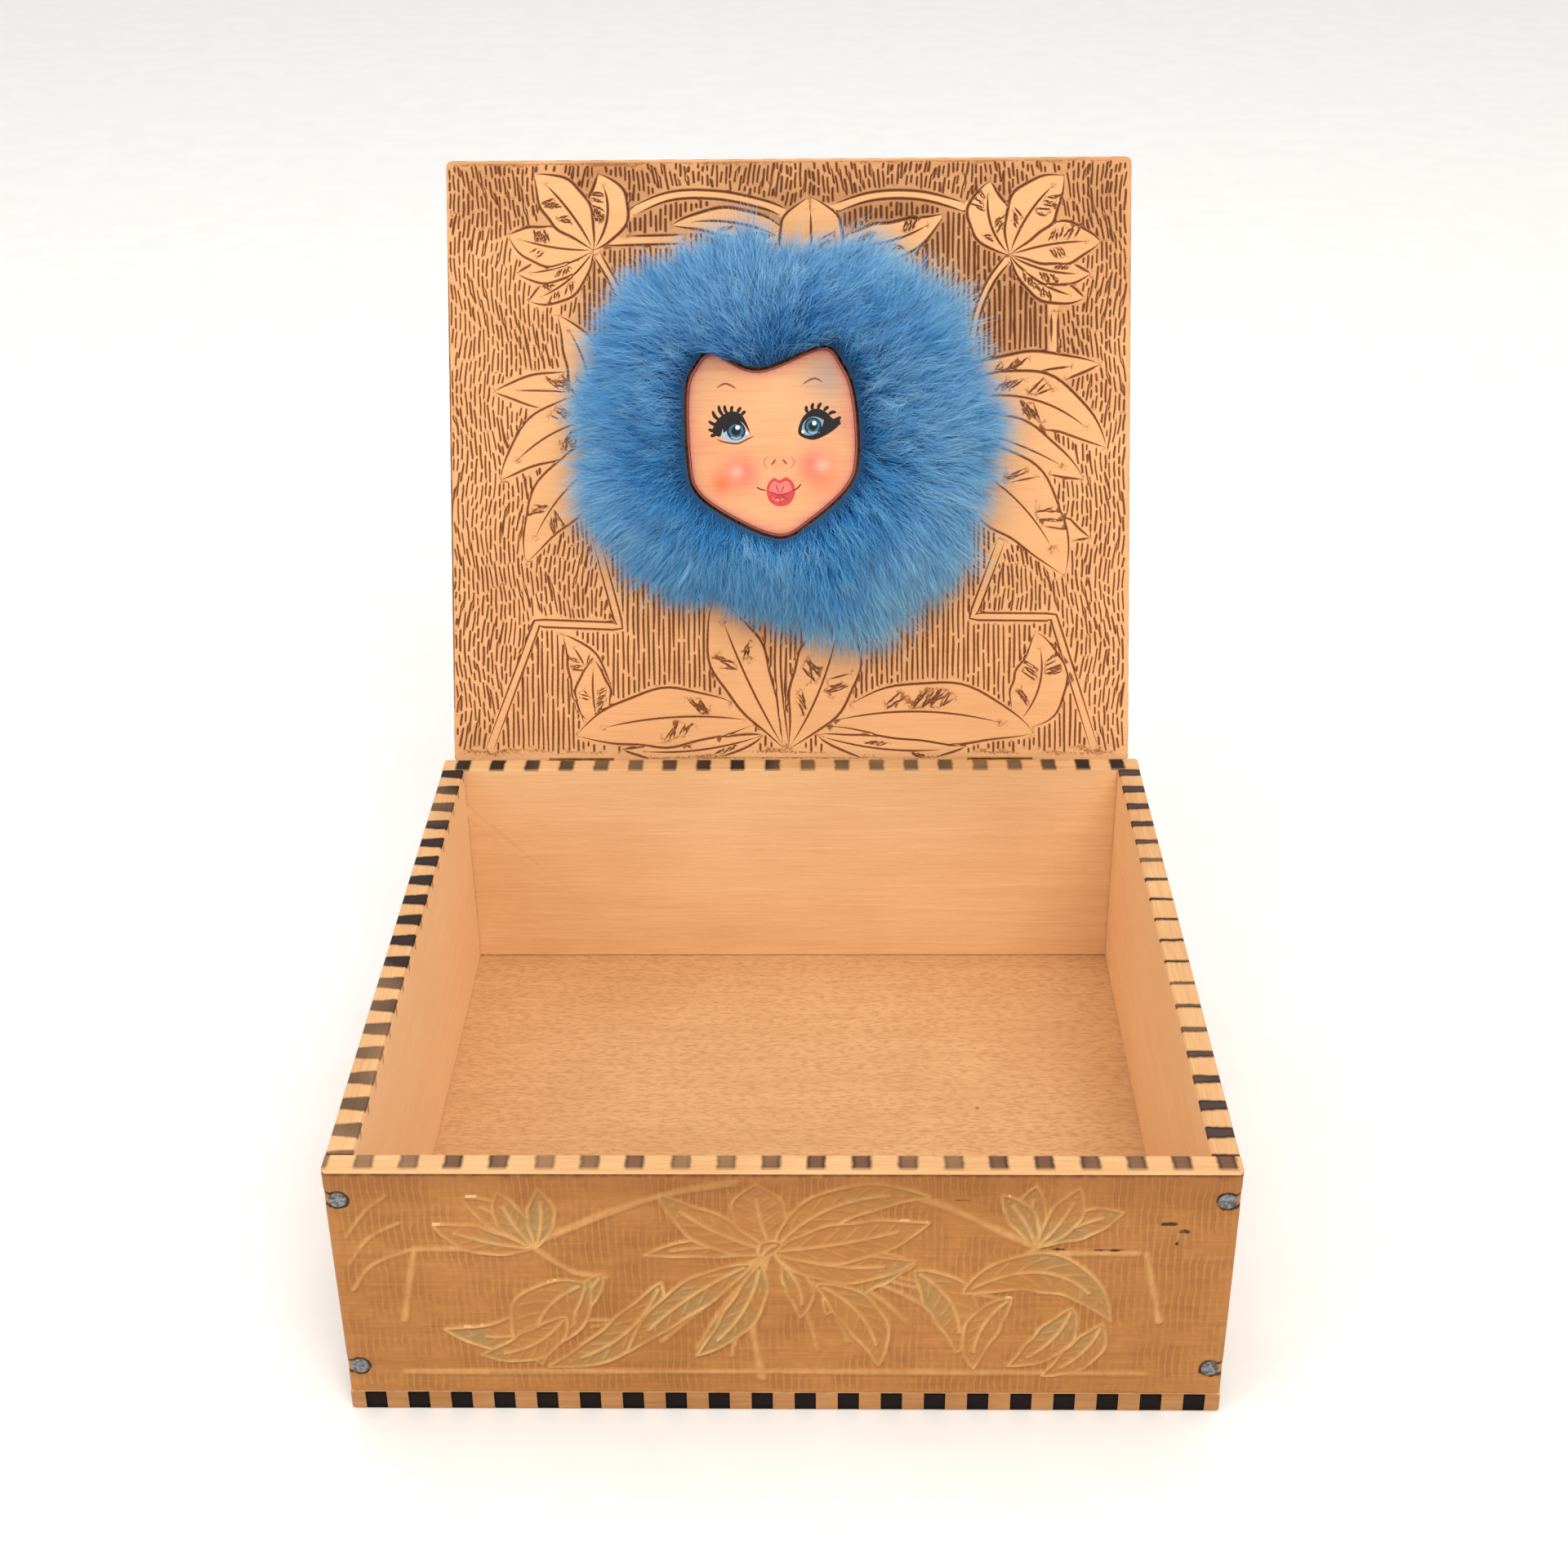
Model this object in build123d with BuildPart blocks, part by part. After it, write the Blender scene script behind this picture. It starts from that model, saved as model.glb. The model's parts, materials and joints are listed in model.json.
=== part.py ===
"""Hinged basswood keepsake box, standing open, with a doll face and a fur ring on the inside of its lid.

Frame: millimetres, origin at the centre of the bottom board's underside, +X to the box's right as seen
from the front, +Y to the back, +Z up. The lid is modelled standing open and leaning back by LID_LEAN.
"""

import os
from math import cos, radians, sin

from build123d import *

# Driving dimensions of the box
BOX_WIDTH = 204.0
BOX_DEPTH = 177.0
BOX_HEIGHT = 72.0  # underside to rim
WALL = 6.3  # quarter-inch boards, planed
BOTTOM_THICKNESS = 5.5
CORNER_ROUND = 1.6  # outer upright corners, worn round
EDGE_ROUND = 0.5  # the other handled edges

# Lid, hinged along the top of the back panel's outer face
LID_WIDTH = 200.0
LID_LENGTH = 177.0
LID_THICKNESS = 6.3
LID_LEAN = 23.0  # how far the open lid leans back from upright, in degrees
LID_GAP = 0.2  # between the rim and the closed lid

# Small butt hinges, 19 mm long and 14 mm wide when opened flat, sunk just under the rim's outer edge
HINGE_SPACING = 124.0
HINGE_LENGTH = 19.0
LEAF_THICKNESS = 0.8
BOX_LEAF_REACH = 6.5  # from the pin's axis to the leaf's far edge
LID_LEAF_REACH = 7.6
BARREL_RADIUS = 1.2
BARREL_PROUD = 0.3  # how far the pin's axis stands behind the back panel
BARREL_DROP = 2.0  # how far the pin's axis lies under the rim
BARREL_CLEARANCE = 0.15
KNUCKLE_MIDDLE = 6.6
KNUCKLE_GAP = 0.2
LEAF_GAP = 0.1  # between a leaf's edge and the pin's axis
PIN_RADIUS = 0.5
PIN_CLEARANCE = 0.05
PIN_HEAD_RADIUS = 0.8
PIN_HEAD_HEIGHT = 0.4

# Wire nails that hold the boards together
NAIL_RADIUS = 0.8
NAIL_LENGTH = 21.0
NAIL_HEAD_RADIUS = 2.1
NAIL_HEAD_THICKNESS = 0.8
NAIL_POINT = 2.0
NAIL_HEIGHTS = (13.5, 64.0)  # above the underside, at each upright corner
BOTTOM_NAIL_LENGTH = 17.0
BOTTOM_NAIL_RECESS = 0.2

# Brass escutcheon pins that hold the hinge leaves
TACK_RADIUS = 0.5
TACK_LENGTH = 5.0
TACK_HEAD_RADIUS = 1.0
TACK_HEAD_THICKNESS = 0.3
TACK_SPACING = 12.0
TACK_HOLE_SLACK = 0.02
BOX_TACK_REACH = 4.0  # from the pin's axis
LID_TACK_REACH = 5.4

# Face plaque and its fur ring, placed on the lid from the pins' axis
PLAQUE_CENTRE = (-4.6, 94.4)
PLAQUE_THICKNESS = 5.0
PLAQUE_EDGE_ROUND = 1.0
PLAQUE_OUTLINE = [
    (-17.3, 26.3),
    (-4.0, 21.3),
    (14.2, 27.8),
    (20.4, 22.4),
    (23.8, 13.2),
    (24.8, -3.4),
    (21.9, -12.9),
    (10.9, -22.9),
    (1.8, -27.4),
    (-11.9, -22.0),
    (-22.3, -14.2),
    (-24.8, -4.4),
    (-25.2, 14.5),
    (-22.7, 21.9),
]
FACE_OPENING = (54.0, 58.0)  # through the hide and the pile, around the plaque
FACE_OPENING_ROUND = 11.0
HIDE_RADII = (47.0, 48.0)
HIDE_THICKNESS = 1.2
PILE_CENTRE = (0.0, 94.2)
PILE_RADII = (57.0, 59.0)
PILE_HEIGHT = 17.0
PILE_SHOULDER = 11.0  # rounding of the pile's outer edge
PILE_THROAT = 6.0  # rounding of the pile around the face

# Places worked out from the above
AXIS_Y = BOX_DEPTH / 2 + BARREL_PROUD
AXIS_Z = BOX_HEIGHT - BARREL_DROP
LEAN = radians(LID_LEAN)
LID_HINGE = Plane(origin=(0, AXIS_Y, AXIS_Z), x_dir=(1, 0, 0), z_dir=(0, -cos(LEAN), sin(LEAN)))
LID_FACE = LID_HINGE.offset(-(BARREL_DROP + LID_GAP))  # x across the lid, y away from the hinge, z out of its face
LID_OUT = Axis(LID_FACE.origin, LID_FACE.z_dir)
BACK_HINGE = Plane(origin=(0, AXIS_Y, AXIS_Z), x_dir=(1, 0, 0), z_dir=(0, 1, 0))
NAIL_X = (BOX_WIDTH - WALL) / 2
HINGES = {"left": -HINGE_SPACING / 2, "right": HINGE_SPACING / 2}
DEEP = (Align.CENTER, Align.CENTER, Align.MAX)  # a shape that hangs down from its plane

os.makedirs("parts", exist_ok=True)


def write(part, name):
    """Labels one finished piece and writes it as its own STEP file."""
    part.label = name
    export_step(part, f"parts/{name}.step")


def on(plane, points):
    """The planes parallel to this one at each of its own (x, y) points."""
    return [Plane(plane.from_local_coords((x, y, 0)), plane.x_dir, plane.z_dir) for x, y in points]


def sunk(planes, depth):
    """The same planes, each moved this far into the wood behind it."""
    return [plane.offset(-depth) for plane in planes]


def nail_group(planes, length, radius, head_radius, head_thickness):
    """Flat-headed nails, one for each plane, with the head's top on the plane."""
    with BuildPart() as nails:
        with Locations(*planes):
            Cylinder(head_radius, head_thickness, align=DEEP)
        with Locations(*sunk(planes, head_thickness)):
            Cylinder(radius, length - head_thickness - NAIL_POINT, align=DEEP)
        with Locations(*sunk(planes, length - NAIL_POINT)):
            Cone(radius * 0.15, radius, NAIL_POINT, align=DEEP)
    return nails.part


# Where the fasteners sit
upright_nails = {
    side: on(
        Plane(origin=(0, side * BOX_DEPTH / 2, 0), x_dir=(-side, 0, 0), z_dir=(0, side, 0)),
        [(x, z) for x in (-NAIL_X, NAIL_X) for z in NAIL_HEIGHTS],
    )
    for side in (-1, 1)
}
underside = Plane(origin=(0, 0, BOTTOM_NAIL_RECESS), x_dir=(1, 0, 0), z_dir=(0, 0, -1))
end_rows = [(x, y) for x in (-70, 0, 70) for y in (-(BOX_DEPTH - WALL) / 2, (BOX_DEPTH - WALL) / 2)]
side_rows = [(x, y) for x in (-NAIL_X, NAIL_X) for y in (-32, 32)]
bottom_nails = on(underside, end_rows + side_rows)
back_face = Plane(origin=(0, BOX_DEPTH / 2, AXIS_Z), x_dir=(1, 0, 0), z_dir=(0, 1, 0))
lid_edge = Plane(LID_HINGE.from_local_coords((0, BARREL_PROUD, 0)), x_dir=(1, 0, 0), z_dir=-LID_HINGE.y_dir)
tack_xs = [x + dx for x in HINGES.values() for dx in (-TACK_SPACING / 2, TACK_SPACING / 2)]
# back_face has its y pointing down the panel; lid_edge has its y pointing at the lid's outer face
DOWN = back_face.y_dir.Z * -1
OUTWARD = -1 if lid_edge.y_dir.dot(LID_HINGE.z_dir) > 0 else 1
box_tacks = on(back_face, [(x, DOWN * BOX_TACK_REACH) for x in tack_xs])
lid_tacks = on(lid_edge, [(x, OUTWARD * LID_TACK_REACH) for x in tack_xs])


def barrel_plane(plane, x):
    """The plane across a hinge's barrel at x, for a board edge whose face is the given plane."""
    return Plane(plane.from_local_coords((x, 0, BARREL_PROUD)), plane.y_dir, plane.x_dir)


def cut_nail_holes(planes, head=True):
    """Cuts the holes of full-size nails in the part being built, with or without their head recesses."""
    with Locations(*sunk(planes, NAIL_HEAD_THICKNESS)):
        Cylinder(NAIL_RADIUS, NAIL_LENGTH - NAIL_HEAD_THICKNESS, align=DEEP, mode=Mode.SUBTRACT)
    if head:
        with Locations(*planes):
            Cylinder(NAIL_HEAD_RADIUS, NAIL_HEAD_THICKNESS, align=DEEP, mode=Mode.SUBTRACT)


def cut_bottom_nail_holes():
    """Cuts the shank holes of the bottom nails in the part being built."""
    with Locations(*bottom_nails):
        Cylinder(NAIL_RADIUS, BOTTOM_NAIL_LENGTH, align=DEEP, mode=Mode.SUBTRACT)


def cut_leaf_seats(plane, inward, reach, tacks):
    """Cuts the shallow seats of both hinges' leaves, and their tack holes, in the part being built.

    plane lies on the board's edge face with its x along the hinges, inward is the sign of the way from
    the pin's axis along the leaf, and the pin's axis is BARREL_PROUD outside the plane.
    """
    for x in HINGES.values():
        with Locations(*on(plane, [(x, inward * reach / 2)])):
            Box(HINGE_LENGTH, reach, LEAF_THICKNESS, align=DEEP, mode=Mode.SUBTRACT)
    with Locations(*tacks):
        Cylinder(TACK_RADIUS + TACK_HOLE_SLACK, TACK_LENGTH + 0.2, align=DEEP, mode=Mode.SUBTRACT)


def cut_barrel_slots():
    """Cuts each barrel's groove in the back panel, open upwards for the lid's leaf when the lid is shut."""
    radius = BARREL_RADIUS + BARREL_CLEARANCE
    for x in HINGES.values():
        with Locations(barrel_plane(back_face, x)):
            Cylinder(radius, HINGE_LENGTH + 1, mode=Mode.SUBTRACT)
        with Locations(*on(back_face, [(x, -DOWN * BARREL_DROP / 2)])):
            Box(HINGE_LENGTH + 1, BARREL_DROP, radius - BARREL_PROUD, align=DEEP, mode=Mode.SUBTRACT)


# Front and back panels, full width, nailed to the ends of the sides
for name, side in (("front_panel", -1), ("back_panel", 1)):
    with BuildPart() as panel:
        with BuildSketch(Plane.XY.offset(BOTTOM_THICKNESS)):
            with Locations((0, side * (BOX_DEPTH - WALL) / 2)):
                Rectangle(BOX_WIDTH, WALL)
        extrude(amount=BOX_HEIGHT - BOTTOM_THICKNESS)
        upright = panel.edges().filter_by(Axis.Z).sort_by(Axis.Y)
        fillet(upright[:2] if side < 0 else upright[-2:], CORNER_ROUND)
        cut_nail_holes(upright_nails[side])
        cut_bottom_nail_holes()
        if side > 0:
            cut_leaf_seats(back_face, DOWN, BOX_LEAF_REACH, box_tacks)
            cut_barrel_slots()
    write(panel.part, name)

# Sides, between the panels
for name, side in (("left_side", -1), ("right_side", 1)):
    with BuildPart() as side_board:
        with BuildSketch(Plane.XY.offset(BOTTOM_THICKNESS)):
            with Locations((side * NAIL_X, 0)):
                Rectangle(WALL, BOX_DEPTH - 2 * WALL)
        extrude(amount=BOX_HEIGHT - BOTTOM_THICKNESS)
        cut_nail_holes(upright_nails[-1] + upright_nails[1], head=False)
        cut_bottom_nail_holes()
    write(side_board.part, name)

# Bottom board, under all four walls
with BuildPart() as bottom_board:
    with BuildSketch():
        Rectangle(BOX_WIDTH, BOX_DEPTH)
    extrude(amount=BOTTOM_THICKNESS)
    fillet(bottom_board.edges().filter_by(Axis.Z), CORNER_ROUND)
    fillet(bottom_board.faces().sort_by(Axis.Z)[0].edges(), EDGE_ROUND)
    cut_bottom_nail_holes()
    with Locations(*sunk(bottom_nails, -BOTTOM_NAIL_RECESS)):
        Cylinder(
            NAIL_HEAD_RADIUS,
            BOTTOM_NAIL_RECESS + NAIL_HEAD_THICKNESS,
            align=DEEP,
            mode=Mode.SUBTRACT,
        )
write(bottom_board.part, "bottom_board")

# Nails and tacks, each set in one node
nail = (NAIL_RADIUS, NAIL_HEAD_RADIUS, NAIL_HEAD_THICKNESS)
tack = (TACK_RADIUS, TACK_HEAD_RADIUS, TACK_HEAD_THICKNESS)
write(nail_group(upright_nails[-1], NAIL_LENGTH, *nail), "front_nails")
write(nail_group(upright_nails[1], NAIL_LENGTH, *nail), "back_nails")
write(nail_group(bottom_nails, BOTTOM_NAIL_LENGTH, *nail), "bottom_nails")
write(nail_group(box_tacks, TACK_LENGTH, *tack), "box_hinge_tacks")
write(nail_group(lid_tacks, TACK_LENGTH, *tack), "lid_hinge_tacks")


def knuckles(x, middle):
    """(centre, length) of the barrel pieces on a hinge at x: the middle one, or the two outer ones."""
    if middle:
        return [(x, KNUCKLE_MIDDLE)]
    length = (HINGE_LENGTH - KNUCKLE_MIDDLE) / 2 - KNUCKLE_GAP
    return [(x + s * (HINGE_LENGTH - length) / 2, length) for s in (-1, 1)]


def hinge_leaf(plane, inward, reach, x, middle, tacks):
    """One leaf with its knuckles, lying flush in a board whose edge face is the given plane."""
    with BuildPart() as leaf:
        with BuildSketch(plane):
            with Locations((x, inward * (reach + LEAF_GAP) / 2)):
                Rectangle(HINGE_LENGTH, reach - LEAF_GAP)
        extrude(amount=-LEAF_THICKNESS)
        for centre, length in knuckles(x, not middle):
            with Locations(barrel_plane(plane, centre)):
                cleared = length + 2 * KNUCKLE_GAP
                Cylinder(BARREL_RADIUS + BARREL_CLEARANCE, cleared, mode=Mode.SUBTRACT)
        for centre, length in knuckles(x, middle):
            with Locations(barrel_plane(plane, centre)):
                Cylinder(BARREL_RADIUS, length)
        with Locations(barrel_plane(plane, x)):
            Cylinder(PIN_RADIUS + PIN_CLEARANCE, HINGE_LENGTH + 1, mode=Mode.SUBTRACT)
        with Locations(*tacks):
            Cylinder(TACK_RADIUS + TACK_HOLE_SLACK, 2, align=DEEP, mode=Mode.SUBTRACT)
            Cylinder(
                TACK_HEAD_RADIUS + TACK_HOLE_SLACK, TACK_HEAD_THICKNESS, align=DEEP, mode=Mode.SUBTRACT
            )
    return leaf.part


# Hinges: a leaf on the back panel, a leaf on the lid's edge, and a headed pin through both
for side, x in HINGES.items():
    box_leaf = hinge_leaf(back_face, DOWN, BOX_LEAF_REACH, x, False, box_tacks)
    write(box_leaf, f"{side}_hinge_box_leaf")
    lid_leaf = hinge_leaf(lid_edge, OUTWARD, LID_LEAF_REACH, x, True, lid_tacks)
    write(lid_leaf, f"{side}_hinge_lid_leaf")
    with BuildPart() as hinge_pin:
        with Locations(Plane((x, AXIS_Y, AXIS_Z), z_dir=(1, 0, 0))):
            Cylinder(PIN_RADIUS, HINGE_LENGTH)
        for end in (-1, 1):
            with Locations(Plane((x + end * HINGE_LENGTH / 2, AXIS_Y, AXIS_Z), z_dir=(end, 0, 0))):
                Cone(
                    PIN_HEAD_RADIUS,
                    PIN_RADIUS,
                    PIN_HEAD_HEIGHT,
                    align=(Align.CENTER, Align.CENTER, Align.MIN),
                )
    write(hinge_pin.part, f"{side}_hinge_pin")

# Lid board, let in for the hinge leaves on its hinge edge
with BuildPart() as lid_board:
    with BuildSketch(LID_FACE):
        with Locations((0, BARREL_PROUD + LID_LENGTH / 2)):
            RectangleRounded(LID_WIDTH, LID_LENGTH, CORNER_ROUND)
    extrude(amount=-LID_THICKNESS)
    cut_leaf_seats(lid_edge, OUTWARD, LID_LEAF_REACH, lid_tacks)
write(lid_board.part, "lid_board")

# Face plaque, sawn from thin board with its front edge eased
with BuildPart() as face_plaque:
    with BuildSketch(LID_FACE):
        with BuildLine():
            u, v = PLAQUE_CENTRE
            Spline(*[(u + x, v + y) for x, y in PLAQUE_OUTLINE], periodic=True)
        make_face()
    extrude(amount=PLAQUE_THICKNESS)
    fillet(face_plaque.edges().group_by(LID_OUT)[-1], PLAQUE_EDGE_ROUND)
write(face_plaque.part, "face_plaque")

# Hide ring that carries the fur, glued to the lid around the plaque
with BuildPart() as fur_hide:
    with BuildSketch(LID_FACE):
        with Locations(PILE_CENTRE):
            Ellipse(*HIDE_RADII)
        with Locations(PLAQUE_CENTRE):
            RectangleRounded(*FACE_OPENING, FACE_OPENING_ROUND, mode=Mode.SUBTRACT)
    extrude(amount=HIDE_THICKNESS)
write(fur_hide.part, "fur_hide")

# Fur pile, as the soft ring that it fills
with BuildPart() as fur_pile:
    with BuildSketch(LID_FACE.offset(HIDE_THICKNESS)):
        with Locations(PILE_CENTRE):
            Ellipse(*PILE_RADII)
    extrude(amount=PILE_HEIGHT)
    fillet(fur_pile.edges().group_by(LID_OUT)[-1], PILE_SHOULDER)
    fillet(fur_pile.edges().group_by(LID_OUT)[0], PILE_SHOULDER / 4)
    with BuildSketch(LID_FACE.offset(HIDE_THICKNESS)):
        with Locations(PLAQUE_CENTRE):
            RectangleRounded(*FACE_OPENING, FACE_OPENING_ROUND)
    extrude(amount=PILE_HEIGHT, mode=Mode.SUBTRACT)
    throat = fur_pile.faces().sort_by(LID_OUT)[-1].inner_wires()[0].edges()
    fillet(throat, PILE_THROAT)
write(fur_pile.part, "fur_pile")
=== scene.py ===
"""A pyrographed basswood keepsake box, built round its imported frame.

The box stands open. Its walls are pressed with leaves, its lid is burned with a flower, and in the flower's
place sits a painted wooden doll face in a ring of dyed fur. Sizes in the classes are in millimetres, on the
flat face that they belong to, and every finished mesh is in metres in the frame's own axes.
"""

import json
import logging
from collections.abc import Callable
from dataclasses import dataclass, field
from enum import Enum
from functools import partial
from math import cos, hypot, log, pi, radians, sin

import bpy
import numpy as np
from mathutils import Matrix, Vector
from mathutils.geometry import delaunay_2d_cdt
from mathutils.kdtree import KDTree


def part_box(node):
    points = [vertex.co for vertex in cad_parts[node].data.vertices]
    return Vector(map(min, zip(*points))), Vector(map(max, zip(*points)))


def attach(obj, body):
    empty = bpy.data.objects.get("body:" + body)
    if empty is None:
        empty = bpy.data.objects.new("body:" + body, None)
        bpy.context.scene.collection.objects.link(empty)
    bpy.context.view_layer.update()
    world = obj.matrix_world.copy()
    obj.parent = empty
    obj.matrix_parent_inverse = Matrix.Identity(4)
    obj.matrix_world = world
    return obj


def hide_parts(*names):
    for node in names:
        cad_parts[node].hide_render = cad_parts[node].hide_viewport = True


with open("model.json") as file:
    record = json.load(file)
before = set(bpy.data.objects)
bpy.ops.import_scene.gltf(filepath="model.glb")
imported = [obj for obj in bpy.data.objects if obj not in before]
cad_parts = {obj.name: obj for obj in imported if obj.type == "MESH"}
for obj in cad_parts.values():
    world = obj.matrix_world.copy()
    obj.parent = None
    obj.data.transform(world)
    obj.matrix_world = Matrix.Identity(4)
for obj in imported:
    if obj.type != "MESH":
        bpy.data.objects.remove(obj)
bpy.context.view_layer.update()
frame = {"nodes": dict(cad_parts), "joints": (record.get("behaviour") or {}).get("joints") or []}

MM = 0.001
LOG = logging.getLogger("keepsake_box")
Point = tuple[float, float]
Triple = tuple[float, float, float]
Colour = tuple[float, float, float, float]
Array = np.ndarray
Object = bpy.types.Object
Tree = bpy.types.NodeTree
Socket = bpy.types.NodeSocket


# ---------------------------------------------------------------- colours and shader nodes


def linear(code: str) -> Colour:
    """Turns an sRGB hex code into a linear colour.

    Args:
        code: The colour as "#rrggbb".

    Returns:
        Red, green, blue and alpha, linear, from 0 to 1.
    """
    parts = [int(code[i:i + 2], 16) / 255 for i in (1, 3, 5)]
    return *[c / 12.92 if c <= 0.04045 else ((c + 0.055) / 1.055)**2.4 for c in parts], 1.0


def fill(tree: Tree, node: bpy.types.Node, sockets: dict | tuple) -> None:
    """Sets or links a node's inputs.

    Args:
        tree: The material's node tree.
        node: The node.
        sockets: Its inputs, by name or in order: a value, a hex colour, or another node's output to link.
    """
    for key, value in sockets.items() if isinstance(sockets, dict) else enumerate(sockets):
        if isinstance(value, Socket):
            tree.links.new(value, node.inputs[key])
        else:
            node.inputs[key].default_value = linear(value) if isinstance(value, str) else value


def add_node(tree: Tree, kind: str, sockets: dict | tuple = (), output: str | int = 0, **settings) -> Socket:
    """Adds one shader node with its settings and links.

    Args:
        tree: The material's node tree.
        kind: The node's type, without its "ShaderNode" prefix.
        sockets: Its inputs, as fill takes them.
        output: The output to return, by name or number.
        settings: The node's own properties.

    Returns:
        One output of the new node.
    """
    node = tree.nodes.new("ShaderNode" + kind)
    for key, value in settings.items():
        setattr(node, key, value)
    fill(tree, node, sockets)
    return node.outputs[output]


def ramp_between(add: Callable, factor: Socket, *stops: tuple[float, str]) -> Socket:
    """Turns a value into a colour.

    Args:
        add: The add_node of the material's own tree.
        factor: The value, from 0 to 1.
        stops: Value and hex colour of each stop, in order.

    Returns:
        The colour.
    """
    colour = add("ValToRGB", (factor,))
    elements = colour.node.color_ramp.elements
    while len(elements) < len(stops):
        elements.new(1.0)
    for element, (place, code) in zip(elements, stops, strict=True):
        element.position, element.color = place, linear(code)
    return colour


class Grain(Enum):
    """The way a board's grain runs, as the stretch of its pattern along x, y and z."""

    ACROSS = (0.05, 1.0, 1.0)
    FRONT_TO_BACK = (1.0, 0.05, 1.0)


@dataclass(frozen=True)
class Finish:
    """A material: what every finish has in common.

    Attributes:
        name: The material's name.
        roughness: How dull its surface is.
        shine: How strongly its surface reflects.
    """

    name: str
    roughness: float = 0.6
    shine: float = 0.25

    def make(self) -> bpy.types.Material:
        """Makes the material, or returns the one already made."""
        if self.name in bpy.data.materials:
            return bpy.data.materials[self.name]
        material = bpy.data.materials.new(self.name)
        material.use_nodes = True
        tree = material.node_tree
        add = partial(add_node, tree)
        place = add("TexCoord", output="Object")
        sockets = {"Roughness": self.roughness, "Specular IOR Level": self.shine, **self.surface(add, place)}
        fill(tree, tree.nodes["Principled BSDF"], sockets)
        return material

    def bump(self, add: Callable, height: Socket, depth: float) -> Socket:
        """Returns a normal that follows a height, at the given depth in millimetres."""
        return add("Bump", {"Height": height, "Distance": depth * MM, "Strength": 1.0})

    def surface(self, add: Callable, place: Socket) -> dict:
        """Builds the finish's own nodes. Each finish has its own.

        Args:
            add: The add_node of the material's own tree.
            place: Object coordinates.

        Returns:
            The shader's inputs, by name.
        """
        raise NotImplementedError


@dataclass(frozen=True)
class Basswood(Finish):
    """Bare basswood, planed and sanded, with a thin clear finish: pale, even, with short faint streaks.

    Attributes:
        light: The colour between the grain lines.
        dark: The colour of the grain lines.
        grain: Which way the grain runs.
        streak: Width of a grain streak.
        chatter: Strength of the fine planer marks along the grain, from 0 to 1.
        spots: Small stains, each as x, y, z and radius in metres.
    """

    light: str = "#f3cb9a"
    dark: str = "#e3b684"
    grain: Grain = Grain.ACROSS
    streak: float = 2.4
    chatter: float = 0.0
    spots: tuple[tuple[float, float, float, float], ...] = ()

    def wood(self, add: Callable, place: Socket) -> tuple:
        """Builds the wood itself.

        Args:
            add: The add_node of the material's own tree.
            place: Object coordinates.

        Returns:
            The colour output and a height output.
        """
        stretch = tuple(s / (self.streak * MM) for s in self.grain.value)
        along = add("Mapping", {"Vector": place, "Scale": stretch})
        streaks = add(
            "TexNoise", {"Vector": along, "Scale": 0.55, "Detail": 5.0, "Roughness": 0.62, "Distortion": 0.35}
        )
        fine = add("TexNoise", {"Vector": along, "Scale": 3.4, "Detail": 3.0, "Roughness": 0.6})
        cloud = add("TexNoise", {"Vector": place, "Scale": 22.0})
        total = add("Math", (streaks, fine), operation="ADD")
        total = add("Math", (total, cloud), operation="ADD")
        level = add("MapRange", (total, 1.1, 1.95))
        colour = ramp_between(add, level, (0.0, self.dark), (1.0, self.light))
        height = fine
        if self.chatter:
            ripple_scale = tuple(420.0 if s < 1 else 1500.0 for s in self.grain.value)
            across = add("Mapping", {"Vector": place, "Scale": ripple_scale})
            ripple = add("TexNoise", {"Vector": across, "Scale": 1.0})
            marks = add("MapRange", (ripple, 0.46, 0.66, 0.0, self.chatter))
            colour = add("MixRGB", (marks, colour, "#b58557"))
            height = add("Math", (height, ripple), operation="ADD")
        for x, y, z, radius in self.spots:
            ragged = add("VectorMath", (place, (x, y, z)), output="Value", operation="DISTANCE")
            ragged = add("Math", (fine, radius, ragged), operation="MULTIPLY_ADD")
            stain = add("MapRange", (ragged, radius, 1.7 * radius, 0.7, 0.0))
            colour = add("MixRGB", (stain, colour, "#7a4a24"))
        return colour, height

    def surface(self, add: Callable, place: Socket) -> dict:
        """Bare wood all over."""
        colour, height = self.wood(add, place)
        return {"Base Color": colour, "Normal": self.bump(add, height, 0.12)}


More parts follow.
